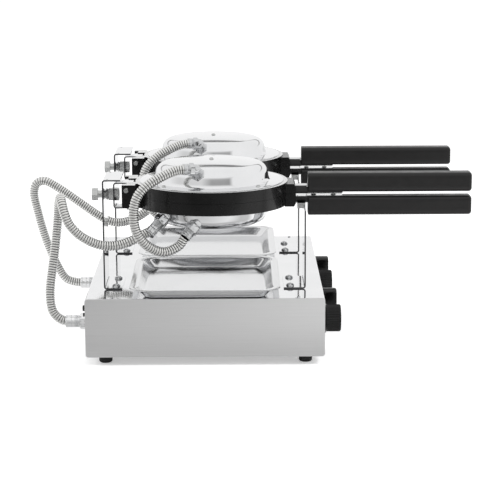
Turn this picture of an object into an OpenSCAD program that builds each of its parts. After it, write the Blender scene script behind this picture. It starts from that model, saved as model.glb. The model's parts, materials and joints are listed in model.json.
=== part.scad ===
// Double-head rotary waffle cone maker.
// Front (knobs and handles) faces -Y, the two heads stand side by side along X.
// Origin: centre of the footprint's bounding box, at the bottom of the feet.

/* [Base] */
// Width of the base, across the two heads
base_w = 410; // [400:2:460]
// Depth of the base, front to back
base_d = 320; // [312:2:360]
// Height of the casing without its feet
base_h = 80; // [72:1:110]
// Thickness of the casing sheet
sheet = 1.5; // [1:0.1:2.5]
// Outer radius of the casing's bends
bend_r = 3.5; // [3:0.5:8]
// Width of the return flange under the front and rear walls
return_w = 12; // [8:1:14]
// Height of the rubber feet
foot_h = 12.5; // [8:0.5:25]
// Diameter of the rubber feet
foot_d = 18; // [14:1:20]
// Distance of each foot's centre from the ends of the base
foot_inset = 25; // [24:1:40]

/* [Uprights] */
// Distance of the rear upright's outer face behind the hinge blocks
rear_reach = 27; // [26.5:0.5:34]
// Gap between the front upright and the handles
front_clear = 2.5; // [2:0.5:4]
// Width of each upright
upright_w = 69; // [60:1:80]
// Thickness of the upright's plate
upright_t = 2; // [1.5:0.1:3]
// Outer bend radius of the upright's plate
upright_bend = 4; // [3.5:0.5:6]
// Length of the rear upright's foot and top flanges
rear_flange = 25; // [24:1:26]
// Length of the front upright's foot flange
front_flange = 30; // [22:1:34]
// Height of the turning axis above the casing
pivot_h = 126; // [122:1:170]
// Height of the rear upright above the turning axis
upright_rise = 25; // [25:0.5:40]

/* [Pans] */
// Distance between the two heads
head_pitch = 230; // [226:1:250]
// Radius of the cast pans
pan_r = 103.5; // [100:0.5:105]
// Distance of the pans' centre in front of the base's centre
pan_forward = 9; // [7:0.5:10]
// Thickness of each pan
pan_t = 15.5; // [14:0.5:18]
// Height of the parting plane above the turning axis
parting_rise = 3.5; // [2:0.5:4]
// Gap between the closed pans
pan_gap = 0.3; // [0.2:0.1:0.5]
// Radius of the baking surface
bake_r = 88; // [70:1:92]
// Depth of the baking surface in each pan
bake_depth = 1.8; // [1:0.1:2.5]
// Distance between the waffle ridges
waffle_pitch = 14; // [10:0.5:20]
// Width of the waffle ridges
ridge_w = 3; // [2:0.5:4]
// Height of the waffle ridges
ridge_h = 1.2; // [0.5:0.1:1.6]
// Half width of the cast boss at the front of the pans
boss_half = 26; // [20:1:34]
// Distance of the boss's front face in front of the base's centre
boss_front = 123; // [121:0.5:124]
// Height of the boss's top above the turning axis
boss_up = 17; // [15:0.5:18.5]
// Depth of the boss's underside below the turning axis
boss_down = 14; // [13:0.5:16]

/* [Hinge] */
// Height of the hinge pin above the parting plane
pin_rise = 8.5; // [8:0.25:9]
// Distance of the hinge pin behind the base's centre
pin_y = 105; // [104:0.5:106]
// Radius of the hinge pin
pin_r = 3; // [2.5:0.25:3.25]
// Half width of the hinge block
block_half = 42; // [38:1:46]
// Width of each outer ear
ear_w = 12; // [8:1:14]
// Distance of the block's rear face behind the pin
block_back = 6; // [5.5:0.5:7]
// Half width of the yoke and of the boss that it grips
yoke_half = 13.5; // [10:0.5:14]
// Half height of the boss inside the yoke
yoke_in = 16; // [15.5:0.25:16.5]
// Thickness of the yoke's strap
yoke_t = 1.8; // [1.5:0.1:2]
// Running clearance of pins in their bores, on the radius
fit = 0.05; // [0.02:0.01:0.08]
// Side clearance between hinge lugs
lug_gap = 0.5; // [0.3:0.1:1]

/* [Covers] */
// Radius of the polished cover's flat rim
cover_r = 98; // [94:0.5:99]
// Thickness of the cover
cover_t = 1.2; // [0.8:0.1:2]
// Radius of the dome
dome_r = 79; // [74:0.5:80]
// Height of the dome
dome_h = 27.5; // [24:0.5:32]

/* [Arms and handles] */
// Radius of the round journal that the two arms make
arm_r = 13.3; // [12:0.1:14]
// Gap between the two arms
arm_gap = 3.6; // [3:0.2:5]
// Length of the journal
journal_l = 16; // [15.5:0.5:20]
// Length of the tang inside the handle
tang_l = 48; // [40:1:80]
// Length of the handles
handle_l = 223; // [141:2:261]
// Height of each handle
handle_h = 26; // [22:0.5:30]
// Width of each handle
handle_w = 25; // [20:0.5:32]
// Gap between the two handles
handle_gap = 6; // [4:0.5:10]

/* [Controls] */
// Radius of the knobs
knob_r = 17; // [14:0.5:20]
// Radius of the knobs' skirts
skirt_r = 21.5; // [20.5:0.5:24]
// Length of the knobs with their skirts
knob_l = 21; // [16:0.5:26]
// Distance of the outer knobs from the middle of the front
knob_outer = 154; // [130:1:172]
// Distance of the inner knobs from the middle of the front
knob_inner = 57; // [40:1:75]
// Radius of the spindles
spindle_r = 3; // [2.5:0.25:4]

/* [Trays] */
// Width of each drip tray at its rim
tray_w = 220; // [190:1:224]
// Depth of each drip tray at its rim, front to back
tray_d = 202; // [170:1:206]
// Height of each drip tray
tray_h = 14; // [8:0.5:16]
// Thickness of the trays' sheet
tray_t = 1; // [0.8:0.1:1.5]
// Width of the trays' flat rim
tray_rim = 8; // [5:0.5:12]
// Gap between the two trays
tray_gap = 2; // [1:0.5:10]

/* [Conduits] */
// Outer diameter of the flexible metal conduit
conduit_d = 11; // [8:0.5:12]
// Height of the conduits' outlets above the bottom of the casing
outlet_z = 40.5; // [25:0.5:50]

/* [Hidden] */
$fn = 48;

left = -1;
right = 1;
seat_gap = 0.3;                       // gap between pieces that rest on each other across a joint
top_z = foot_h + base_h;              // top of the casing
axis_z = top_z + pivot_h;             // turning axis of both heads
pan_y = -pan_forward;
pin_z = parting_rise + pin_rise;      // hinge pin above the turning axis
block_rear = pin_y + block_back;
block_top = parting_rise + pan_t;     // outer faces of the pans, from the turning axis
block_low = parting_rise - pan_t;

arm_front = boss_front + journal_l;   // front end of the journal, where the handle starts
rear_y = block_rear + rear_reach;     // outer face of the rear uprights
front_y = arm_front - front_clear;    // outer face of the front uprights
handle_tip = arm_front + 1 + handle_l;
gland_out = 24;                       // length of a rear gland outside the casing
rear_tip = base_d / 2 + gland_out;
origin_y = (handle_tip - rear_tip) / 2;

steel = [0.78, 0.78, 0.8];
mirror_steel = [0.88, 0.88, 0.9];
satin_steel = [0.68, 0.68, 0.7];
black_cast = [0.1, 0.1, 0.1];
black_plastic = [0.16, 0.16, 0.16];

// ---------- helpers ----------

// Everything is drawn about the base's centre and moved so that the origin is the footprint's centre
module placed() {
    translate([0, origin_y, 0]) children();
}

// A head's own frame: its turning axis is the Y axis
module in_head(side) {
    placed() translate([side * head_pitch / 2, 0, axis_z]) children();
}

// Frame on a pan's outer face, with +Z pointing away from the parting plane
module on_pan(upper) {
    translate([0, pan_y, parting_rise]) mirror([0, 0, upper ? 0 : 1]) translate([0, 0, pan_t]) children();
}

module rounded(w, d, r) {
    square([w - 2 * r, d], center = true);
    square([w, d - 2 * r], center = true);
    for (x = [-1, 1], y = [-1, 1])
        translate([x * (w / 2 - r), y * (d / 2 - r)]) circle(r);
}

// Extrudes a YZ profile along X, centred
module along_x(length) {
    rotate([90, 0, 90]) linear_extrude(length, center = true) children();
}

function unit(v) = v / norm(v);

// Turns +Z onto the direction d, at the point p
module aimed(p, d) {
    translate(p) rotate([0, acos(d[2] / norm(d)), atan2(d[1], d[0])]) children();
}

// A bar along Y, from y0 to y1
module rod_y(r, y0, y1) {
    translate([0, y0, 0]) rotate([-90, 0, 0]) cylinder(r = r, h = y1 - y0);
}

// A hexagonal nut or bolt head along Y, r to its corners
module hex_y(r, y0, y1) {
    translate([0, y0, 0]) rotate([-90, 0, 0]) cylinder(r = r, h = y1 - y0, $fn = 6);
}

// Cross-head screw standing on the XY plane, its shank going down
module screw(head_r, head_h, shank_r, shank_l) {
    slot = [head_r * 0.25, head_r * 1.1, head_h * 0.8];
    difference() {
        cylinder(r1 = head_r, r2 = head_r * 0.7, h = head_h, $fn = 24);
        for (turn = [0, 90])
            rotate(turn) translate([0, 0, head_h]) cube(slot, center = true);
    }
    translate([0, 0, -shank_l]) cylinder(r = shank_r, h = shank_l + 0.01, $fn = 24);
}

// ---------- base ----------

plate_z = foot_h + sheet;             // underside of the base plate, on the return flanges
wall_screw_r = 2;
casing_screw_r = 1.4;
foot_recess_r = 5;
tab_l = 30;                           // tabs of the side panels, which take the casing screws
tab_w = 12;
upright_screw_x = upright_w / 2 - 11;
screw_inset = 9;                      // from the end of an upright's foot flange
tab_y = base_d / 2 - 35;
knob_z = foot_h + base_h / 2;
inlet_x = 10;                         // place of the mains cable's inlet
inlet_r = 8;
outlet_r = 7;
outlet_x = [-166, 64];                // outlets of the supply conduits, left and right
light_x = (knob_outer + knob_inner) / 2;
light_r = 4.5;

function knob_x(side, inner) = side * (inner ? knob_inner : knob_outer);

module at_each_upright_screw() {
    places = [rear_y - rear_flange + screw_inset, -front_y + front_flange - screw_inset];
    for (side = [left, right], x = [-1, 1], y = places)
        translate([side * head_pitch / 2 + x * upright_screw_x, y, top_z]) children();
}

// Along the ends of the casing's top
module at_each_casing_screw() {
    for (x = [-1, 1], y = [-tab_y, tab_y])
        translate([x * (base_w / 2 - sheet - tab_w / 2), y, top_z]) children();
}

module at_each_foot() {
    for (x = [-1, 1], y = [-1, 1])
        translate([x * (base_w / 2 - foot_inset), y * (base_d / 2 - foot_inset), 0]) children();
}

module casing_screw_holes() {
    at_each_casing_screw() translate([0, 0, -2 * sheet - 1])
        cylinder(r = casing_screw_r + fit, h = 2 * sheet + 2);
}

module at_each_knob() {
    for (side = [left, right], inner = [false, true])
        translate([knob_x(side, inner), 0, knob_z]) children();
}

module base_shell() {
    inside = base_d / 2 - sheet - 1;
    outside = base_d / 2 + 1;
    color(mirror_steel) placed() difference() {
        translate([0, 0, foot_h + base_h / 2]) along_x(base_w - 2 * sheet) difference() {
            rounded(base_d, base_h, bend_r);
            rounded(base_d - 2 * sheet, base_h - 2 * sheet, bend_r - sheet);
            translate([0, -base_h / 2]) square([base_d - 2 * return_w, 4 * sheet], center = true);
        }
        at_each_knob() rod_y(neck_r + 0.05, -outside, -inside);
        for (side = [left, right])
            translate([side * light_x, 0, knob_z]) rod_y(light_r, -outside, -inside);
        for (x = outlet_x)
            translate([x, 0, foot_h + outlet_z]) rod_y(outlet_r, inside, outside);
        translate([inlet_x, 0, foot_h + outlet_z]) rod_y(inlet_r, inside, outside);
        at_each_upright_screw() translate([0, 0, -sheet - 1]) cylinder(r = wall_screw_r + fit, h = sheet + 2);
        casing_screw_holes();
    }
}

module side_panels() {
    color(satin_steel) placed() difference() {
        for (side = [left, right])
            translate([side * (base_w - sheet) / 2, 0, foot_h + base_h / 2]) {
                along_x(sheet) rounded(base_d, base_h, bend_r);
                for (y = [-tab_y, tab_y])
                    translate([-side * (tab_w + sheet) / 2, y, base_h / 2 - 1.5 * sheet])
                        cube([tab_w + 0.02, tab_l, sheet], center = true);
            }
        casing_screw_holes();
    }
}

slot_pitch = 14;
slot_w = 5;
slot_l = 60;

module base_plate() {
    color(satin_steel) placed() difference() {
        translate([0, 0, plate_z + sheet / 2])
            cube([base_w - 2 * sheet - 1, base_d - 2 * bend_r - 1, sheet], center = true);
        at_each_foot() translate([0, 0, plate_z - 1]) cylinder(r = wall_screw_r + fit, h = sheet + 2);
        // ventilation slots
        for (x = [-6:6])
            translate([x * slot_pitch, 0, plate_z]) linear_extrude(4 * sheet, center = true)
                rounded(slot_w, slot_l, slot_w / 2 - 0.1);
    }
}

module rubber_feet() {
    color(black_plastic) placed() at_each_foot() difference() {
        rotate_extrude() polygon([
            [0, 0], [foot_d / 2 - 1.5, 0], [foot_d / 2, 1.5], [foot_d / 2, plate_z], [0, plate_z]
        ]);
        translate([0, 0, -1]) cylinder(r = foot_recess_r, h = foot_h / 2 + 1);
        cylinder(r = wall_screw_r + fit, h = foot_h * 2);
    }
}

module base_screws() {
    color(steel) placed() {
        at_each_upright_screw() translate([0, 0, upright_t]) screw(4.2, 2.6, wall_screw_r, 8);
        at_each_casing_screw() screw(2.5, 1.2, casing_screw_r, 2 * sheet + 1);
        at_each_foot() translate([0, 0, foot_h / 2]) rotate([180, 0, 0])
            screw(4, 2.2, wall_screw_r, foot_h / 2 + 2 * sheet + 2);
    }
}

bumper_r = 4;
bumper_rise = 18;                     // above the conduit's outlet

module rear_bumpers() {
    color(black_plastic) placed() for (x = outlet_x)
        translate([x, 0, foot_h + outlet_z + bumper_rise]) rod_y(bumper_r, base_d / 2, base_d / 2 + 6);
}

// ---------- electrical parts inside the base ----------

ways = 6;                             // ways of the terminal block
block_size = [66, 24, 18];
block_from_rear = 70;
well_r = 3;

module terminal_block() {
    way_w = block_size[0] / ways;
    corner = [inlet_x - block_size[0] / 2, base_d / 2 - block_from_rear, plate_z + sheet];
    color("ivory") placed() translate(corner) difference() {
        cube(block_size);
        for (i = [0:ways - 1]) {
            for (y = [0.25, 0.75])
                translate([(i + 0.5) * way_w, y * block_size[1], 8]) cylinder(r = well_r, h = block_size[2]);
            translate([i * way_w - 0.5, -1, 12]) cube([1, block_size[1] + 2, block_size[2]]);
        }
    }
}

body_gap = 2;                         // depth of the nut between a switch body and the front wall
switch_face = -base_d / 2 + sheet;

neck_r = spindle_r + 0.75;            // threaded neck of a switch
thermostat_size = [34, 26, 40];
timer_size = [46, 34, 46];
blade = [6, 9, 0.8];                  // connector blades behind a timer

// Body of a switch behind the front wall, with the nut and the neck that hold it there
module switch_body(size) {
    difference() {
        union() {
            translate([-size[0] / 2, switch_face + body_gap, -size[2] / 2]) cube(size);
            rod_y(neck_r, -base_d / 2 + 0.2, switch_face + body_gap + 1);
            hex_y(8, switch_face, switch_face + body_gap + 0.5);
        }
        rod_y(spindle_r + fit, -base_d / 2 - 1, switch_face + body_gap + 12);
    }
}

module thermostats() {
    back = switch_face + body_gap + thermostat_size[1];
    color("silver") placed() for (side = [left, right])
        translate([knob_x(side, false), 0, knob_z]) {
            switch_body(thermostat_size);
            // sensing line's union
            rod_y(4, back, back + 10);
        }
}

module timers() {
    back = switch_face + body_gap + timer_size[1];
    color("gray") placed() for (side = [left, right])
        translate([knob_x(side, true), 0, knob_z]) {
            switch_body(timer_size);
            for (x = [-12, 0, 12])
                translate([x - blade[0] / 2, back - 1, -10]) cube(blade);
        }
}

module pilot_lights() {
    color("orangered") placed() for (side = [left, right])
        translate([side * light_x, 0, knob_z]) {
            rod_y(light_r - 0.1, -base_d / 2 - 1, -base_d / 2 + 16);
            translate([0, -base_d / 2, 0]) rotate([90, 0, 0])
                cylinder(r1 = light_r + 1.5, r2 = light_r, h = 1.5);
        }
}

// ---------- knobs ----------

module knob(fluted) {
    flutes = 24;
    skirt_t = 3;
    face = -base_d / 2 - seat_gap;
    difference() {
        union() {
            rod_y(knob_r, face - knob_l, face);
            translate([0, face, 0]) rotate([90, 0, 0]) cylinder(r1 = skirt_r, r2 = skirt_r - 1, h = skirt_t);
        }
        if (fluted)
            for (i = [0:flutes - 1])
                rotate([0, i * 360 / flutes, 0]) translate([knob_r + 0.7, 0, 0])
                    rod_y(1.5, face - knob_l - 1, face - skirt_t);
        else
            for (x = [-1, 1])
                translate([x * (knob_r * 0.62 + knob_r), face - knob_l - 1 + (knob_l - 4) / 2, 0])
                    cube([2 * knob_r, knob_l - 4, 3 * knob_r], center = true);
        rod_y(spindle_r + fit, face - knob_l + 5, face + 1);
    }
    // flatted spindle, pushed into the knob and turning in the switch
    rod_y(spindle_r, face - knob_l + 5.3, switch_face + body_gap + 11.5);
}

module knob_at(side, inner, fluted) {
    color(black_plastic) placed() translate([knob_x(side, inner), 0, knob_z]) knob(fluted);
}

module left_thermostat_knob() knob_at(left, false, true);
module left_timer_knob() knob_at(left, true, false);
module right_thermostat_knob() knob_at(right, false, false);
module right_timer_knob() knob_at(right, true, true);

// ---------- uprights ----------

bush_r = 6.5;
bolt_r = 5;

// Bent plate, open towards -Y: web at the back, with a foot and a top flange
module bent_profile(depth, height) {
    difference() {
        translate([-depth, height / 2]) difference() {
            rounded(2 * depth, height, upright_bend);
            rounded(2 * depth - 2 * upright_t, height - 2 * upright_t, upright_bend - upright_t);
        }
        translate([-3 * depth, -1]) square([2 * depth, height + 2]);
    }
}

module rear_uprights() {
    height = pivot_h + upright_rise;
    relief_x = upright_w / 2 - 5;
    color(mirror_steel) placed() for (side = [left, right]) difference() {
        translate([side * head_pitch / 2, rear_y, top_z]) along_x(upright_w)
            bent_profile(rear_flange, height);
        translate([side * head_pitch / 2, 0, axis_z]) rod_y(bush_r, rear_y - upright_t - 1, rear_y + 1);
        upright_screw_holes();
        // relief holes at the ends of the top bend
        for (x = [-relief_x, relief_x])
            translate([side * head_pitch / 2 + x, rear_y - 7, top_z + height - upright_t - 1])
                cylinder(r = 1.5, h = upright_t + 2);
    }
}

module upright_screw_holes() {
    at_each_upright_screw() translate([0, 0, -1]) cylinder(r = wall_screw_r + fit, h = upright_t + 2);
}

cradle_l = 11;                        // length of the cradle along the arm
cradle_half = 15;
cradle_wall = 5;                      // thickness of the cradle under the arm
seat_depth = 2.4;                     // how deep the arm lies in the cradle
cradle_r = arm_r + seat_gap;
web_top = -cradle_r - cradle_wall;    // top of the front upright, from the turning axis

module front_uprights() {
    height = pivot_h + web_top;
    color(mirror_steel) placed() for (side = [left, right]) difference() {
        translate([side * head_pitch / 2, -front_y, top_z]) mirror([0, 1, 0]) along_x(upright_w)
            difference() {
                bent_profile(front_flange, height + 2 * upright_bend);
                translate([-2 * front_flange, height]) square([3 * front_flange, 4 * upright_bend]);
            }
        upright_screw_holes();
    }
}

// Rest for the arms, on the upright's top edge
module cradles() {
    height = cradle_wall + seat_depth;
    color(steel) placed() for (side = [left, right])
        translate([side * head_pitch / 2, -front_y, axis_z]) difference() {
            translate([-cradle_half, 0, web_top]) cube([2 * cradle_half, cradle_l, height]);
            rod_y(cradle_r, -1, cradle_l + 1);
        }
}

// ---------- pivot ----------

nut_r = 9.2;
yoke_rear = rear_y - upright_t - 11.5;      // outer face of the yoke's web
bush_front = yoke_rear + 7.3;

module pivot_bushes() {
    color(black_plastic) placed() for (side = [left, right])
        translate([side * head_pitch / 2, 0, axis_z]) difference() {
            union() {
                rod_y(bush_r + 1.5, bush_front, rear_y - upright_t);
                rod_y(bush_r - 0.02, bush_front, rear_y);
            }
            rod_y(bolt_r + fit, bush_front - 1, rear_y + 1);
        }
}

module pivot_bolt(side) {
    inner = yoke_rear - yoke_t;
    color(steel) in_head(side) {
        rod_y(bolt_r, inner - 6, rear_y + 16);
        hex_y(nut_r, inner - 5.7, inner);
        hex_y(nut_r, yoke_rear, bush_front - seat_gap);
        hex_y(nut_r, rear_y + 8, rear_y + 16);
    }
}

yoke_front = pin_y - 8;

// The yoke's lower flange is screwed to the boss, clear of the hinge pin above
module at_each_yoke_screw() {
    for (x = [-1, 1])
        translate([x * yoke_half / 2, pin_y - 1, -yoke_in]) rotate([180, 0, 0]) children();
}

module yoke(side) {
    outer = 2 * (yoke_in + yoke_t);
    reach = yoke_rear - yoke_front;
    color(mirror_steel) in_head(side) difference() {
        translate([0, yoke_rear, 0]) along_x(2 * yoke_half) difference() {
            translate([-reach, 0]) difference() {
                rounded(2 * reach, outer, upright_bend);
                rounded(2 * reach - 2 * yoke_t, 2 * yoke_in, upright_bend - yoke_t);
            }
            translate([-3 * reach, -outer]) square([2 * reach, 2 * outer]);
        }
        rod_y(bolt_r + 0.02, yoke_rear - yoke_t - 1, yoke_rear + 1);
        at_each_yoke_screw() cylinder(r = wall_screw_r + fit, h = 2 * yoke_t + 2, center = true);
    }
}

// ---------- pans ----------

module waffle_ridges() {
    reach = bake_r - 4;
    count = floor(reach / waffle_pitch);
    intersection() {
        cylinder(r = reach, h = ridge_h);
        for (turn = [45, 135], i = [-count:count])
            rotate(turn) translate([i * waffle_pitch - ridge_w / 2, -reach - 1, 0])
                cube([ridge_w, 2 * reach + 2, ridge_h]);
    }
}

module pan_disc(low, thickness) {
    translate([0, pan_y, low]) cylinder(r = pan_r, h = thickness, $fn = 96);
}

// Boss at the front of a pan: drawn from z = 0 up, with a sloped front edge
module front_boss(height) {
    slope = 4.5;
    start = -pan_y + cover_r + 1;     // clear of the cover's rim
    along_x(2 * boss_half) polygon([
        [-start, 0], [-start, height], [slope / 2 - boss_front, height], [-boss_front, height - slope],
        [-boss_front, 0]
    ]);
}

tenon_r = 4;
tenon_l = 14;
tenon_upper = 9;                      // heights of the arms' tenons above and below the turning axis
tenon_lower = -6.5;
ear_front = pin_y - 12;
gap_half = block_half - ear_w;

module lower_pan(side) {
    rear_l = block_rear - pan_y;
    color(black_cast) in_head(side) {
        difference() {
            union() {
                pan_disc(block_low, pan_t);
                translate([-block_half, pan_y, block_low]) cube([2 * block_half, rear_l, pan_t]);
                translate([0, 0, parting_rise]) mirror([0, 0, 1]) front_boss(parting_rise + boss_down);
                for (x = [-1, 1])
                    translate([x * (block_half - ear_w / 2), 0, 0]) along_x(ear_w)
                        translate([ear_front, block_low]) square([block_rear - ear_front, 2 * pan_t]);
                // boss that the yoke grips
                along_x(2 * yoke_half)
                    translate([yoke_front, -yoke_in]) square([block_rear - yoke_front, 2 * yoke_in]);
            }
            translate([0, pan_y, parting_rise - bake_depth])
                cylinder(r = bake_r, h = bake_depth + 1, $fn = 96);
            pin_bore();
            translate([0, 0, tenon_lower]) rod_y(tenon_r + 0.02, -boss_front - 1, -boss_front + tenon_l);
            at_each_yoke_screw() translate([0, 0, -yoke_screw_l])
                cylinder(r = wall_screw_r + fit, h = yoke_screw_l + 1);
            cover_screw_bores(false);
        }
        translate([0, pan_y, parting_rise - bake_depth]) waffle_ridges();
    }
}

yoke_screw_l = 8;
cover_screw_r = 1.6;
cover_screw_l = 6;

module cover_screw_bores(upper) {
    on_pan(upper) at_each_cover_screw() translate([0, 0, -cover_t - cover_screw_l])
        cylinder(r = cover_screw_r + fit, h = cover_screw_l + 1);
}

knuckle_r = 6;

module pin_bore() {
    translate([0, pin_y, pin_z]) rotate([0, 90, 0])
        cylinder(r = pin_r + fit, h = 2 * block_half + 2, center = true);
}

module upper_pan(side) {
    lug_in = yoke_half + lug_gap;
    lug_w = gap_half - lug_gap - lug_in;
    low = parting_rise + pan_gap;
    color(black_cast) in_head(side) {
        difference() {
            union() {
                pan_disc(low, pan_t - pan_gap);
                translate([0, 0, low]) front_boss(boss_up - low);
                for (x = [-1, 1])
                    translate([x * (lug_in + lug_w / 2), 0, 0]) along_x(lug_w) {
                        translate([pan_y, low]) square([pin_y - pan_y, pan_t - pan_gap]);
                        translate([pin_y, pin_z]) circle(knuckle_r);
                    }
            }
            translate([0, pan_y, low - 1]) cylinder(r = bake_r, h = bake_depth + 1, $fn = 96);
            pin_bore();
            translate([0, 0, tenon_upper]) rod_y(tenon_r + 0.02, -boss_front - 1, -boss_front + tenon_l);
            cover_screw_bores(true);
        }
        translate([0, pan_y, low + bake_depth - ridge_h]) waffle_ridges();
    }
}

module hinge_pin(side) {
    head_t = 3;
    color(steel) in_head(side) translate([0, pin_y, pin_z]) rotate([0, 90, 0]) {
        cylinder(r = pin_r, h = 2 * block_half, center = true);
        for (turn = [0, 180])
            rotate([0, turn, 0]) translate([0, 0, block_half])
                cylinder(r1 = pin_r + 1.2, r2 = pin_r, h = head_t);
    }
}

// ---------- covers ----------

// Quarter of the dome's section: a superellipse with a flat top and steep sides
dome_steps = 12;
function dome_arc(r, h) = [
    for (i = [0:dome_steps])
        let (a = 90 * i / dome_steps)
        [r * pow(cos(a), 2 / 4.2), h * pow(sin(a), 2 / 1.6)]
];

module cover_shell() {
    in_r = dome_r - cover_t;
    in_h = dome_h;
    rotate_extrude($fn = 96) polygon(concat(
        [[cover_r, 0], [cover_r, cover_t]],
        [for (p = dome_arc(dome_r, dome_h)) p + [0, cover_t]],
        [for (i = [dome_steps:-1:0]) dome_arc(in_r, in_h)[i]]
    ));
}

// The dome's outer form, grown a little, which trims what is seated on it
module dome_solid(grow) {
    rotate_extrude($fn = 96) polygon(concat(
        [[0, -1], [cover_r + grow, -1], [cover_r + grow, cover_t + grow]],
        [for (p = dome_arc(dome_r + grow, dome_h + grow)) p + [0, cover_t]]
    ));
}

gland_hole_r = 5.2;
// directions of the glands out of the dome, and of the elbow's outlet
supply_aim = [-0.50, 0.61, 0.61];
link_aim = [-0.45, 0.60, 0.66];
upper_aim = [-0.80, 0.10, 0.60];
elbow_aim = [-0.37, 0.93, 0.09];

// Point on the dome's outer surface, in the frame of on_pan; turn goes round from -X towards +Y
function dome_seat(turn, a) = [
    -dome_r * pow(sin(a), 2 / 4.2) * cos(turn),
    dome_r * pow(sin(a), 2 / 4.2) * sin(turn),
    cover_t + dome_h * pow(cos(a), 2 / 1.6)
];
supply_seat = dome_seat(52, 70);
link_seat = dome_seat(15, 55);
upper_seat = dome_seat(14, 50);

module gland_hole(seat, aim) {
    aimed(seat, aim) translate([0, 0, -12]) cylinder(r = gland_hole_r, h = 24);
}

module lower_cover(side) {
    color(mirror_steel) in_head(side) on_pan(false) difference() {
        cover_shell();
        gland_hole(supply_seat, supply_aim);
        gland_hole(link_seat, link_aim);
        cover_screw_holes();
    }
}

module upper_cover(side) {
    color(mirror_steel) in_head(side) on_pan(true) difference() {
        cover_shell();
        gland_hole(upper_seat, upper_aim);
        cover_screw_holes();
    }
}

screw_ring = (dome_r + cover_r) / 2;

module at_each_cover_screw() {
    for (turn = [45, 135, 225, 315])
        rotate(turn) translate([screw_ring, 0, cover_t]) children();
}

module cover_screw_holes() {
    at_each_cover_screw() translate([0, 0, -cover_t - 1]) cylinder(r = cover_screw_r + fit, h = cover_t + 2);
    translate([0, 0, dome_h - 2]) cylinder(r = cover_screw_r + fit, h = cover_t + 4);
}

// ---------- heating elements ----------

element_r = 55;
rod_r = 4;
post_h = 14;

module element() {
    gap_turn = 24;
    translate([0, 0, rod_r]) rotate(gap_turn / 2) rotate_extrude(angle = 360 - gap_turn, $fn = 72)
        translate([element_r, 0]) circle(rod_r, $fn = 24);
    // terminal posts at the two ends of the tube
    for (turn = [-1, 1])
        rotate(turn * gap_turn / 2) translate([element_r, 0, 0]) cylinder(r = rod_r + 1, h = post_h);
}

module lower_element(side) {
    color("gray") in_head(side) on_pan(false) element();
}

module upper_element(side) {
    color("gray") in_head(side) on_pan(true) element();
}

// ---------- conduit glands ----------

gland_r = 8.4;
ferrule_r = conduit_d / 2 + 1;
stub_l = 9;
nut_l = 9;
gland_l = 28;                         // length outside the dome

module straight_gland(seat, aim) {
    difference() {
        aimed(seat, aim) {
            translate([0, 0, -1]) cylinder(r = gland_r, h = nut_l + 1, $fn = 6);
            translate([0, 0, nut_l]) cylinder(r = gland_r - 1.4, h = 6, $fn = 6);
            cylinder(r = ferrule_r, h = gland_l);
        }
        dome_solid(seat_gap / 2);
    }
    aimed(seat, aim) translate([0, 0, -stub_l + 4]) cylinder(r = gland_hole_r - 0.2, h = stub_l);
}

elbow_l = 17;
outlet_l = 13;

module elbow_gland(seat, aim, out) {
    centre = seat + elbow_l * unit(aim);
    difference() {
        union() {
            aimed(seat, aim) {
                translate([0, 0, -1]) cylinder(r = gland_r, h = 7, $fn = 6);
                cylinder(r = ferrule_r - 0.5, h = elbow_l);
            }
            translate(centre) sphere(ferrule_r, $fn = 32);
            aimed(centre, out) {
                cylinder(r = ferrule_r, h = outlet_l);
                translate([0, 0, 5]) cylinder(r = gland_r - 0.9, h = 5, $fn = 6);
            }
        }
        dome_solid(seat_gap / 2);
    }
    aimed(seat, aim) translate([0, 0, -stub_l + 4]) cylinder(r = gland_hole_r - 0.2, h = stub_l);
}

module lower_glands(side) {
    color(steel) in_head(side) on_pan(false) {
        straight_gland(supply_seat, supply_aim);
        straight_gland(link_seat, link_aim);
    }
}

module upper_gland(side) {
    color(steel) in_head(side) on_pan(true) elbow_gland(upper_seat, upper_aim, elbow_aim);
}

module rear_glands() {
    wall = base_d / 2;
    color(steel) placed() {
        for (x = outlet_x)
            translate([x, 0, foot_h + outlet_z]) {
                hex_y(outlet_r + 3, wall, wall + 6);
                rod_y(ferrule_r + 0.3, wall + 6, wall + gland_out);
                rod_y(outlet_r - 0.1, wall - 8, wall + 6);
                hex_y(outlet_r + 2.5, wall - sheet - 5, wall - sheet);
            }
        // low strain relief for the mains cable
        translate([inlet_x, 0, foot_h + outlet_z]) difference() {
            union() {
                rod_y(inlet_r + 2.5, wall, wall + 4);
                rod_y(inlet_r - 0.1, wall - 8, wall + 10);
                rod_y(inlet_r + 2, wall - sheet - 4, wall - sheet);
            }
            rod_y(4, wall - 9, wall + 11);
        }
    }
}

// ---------- arms and handles ----------

module half_round(upper) {
    sign = upper ? 1 : -1;
    intersection() {
        rod_y(arm_r, -arm_front, -boss_front);
        translate([0, -boss_front, sign * (arm_gap / 2 + arm_r)])
            cube([3 * arm_r, 4 * arm_front, 2 * arm_r], center = true);
    }
}

tang_w = 14;
tang_h = 9;
handle_screws = [9, 36];              // distances of the handle's screws from its end

module arm(side, upper) {
    sign = upper ? 1 : -1;
    color(steel) in_head(side) difference() {
        union() {
            half_round(upper);
            translate([-tang_w / 2, -arm_front - tang_l, sign > 0 ? arm_gap / 2 : -arm_gap / 2 - tang_h])
                cube([tang_w, tang_l + 1, tang_h]);
            translate([0, 0, upper ? tenon_upper : tenon_lower])
                rod_y(tenon_r, -boss_front - 1, -boss_front + tenon_l - 0.5);
        }
        for (y = handle_screws)
            translate([0, -arm_front - y, 0]) cylinder(r = 2.1, h = 60, center = true);
    }
}

// Cross-section of a handle, d along its length and shrink smaller than its full size
module handle_section(d, shrink) {
    corner = 9;
    translate([0, 0, d]) linear_extrude(1)
        rounded(handle_w - shrink, handle_h - max(shrink, 0), corner - max(shrink, 0) / 2, $fn = 32);
}

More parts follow.
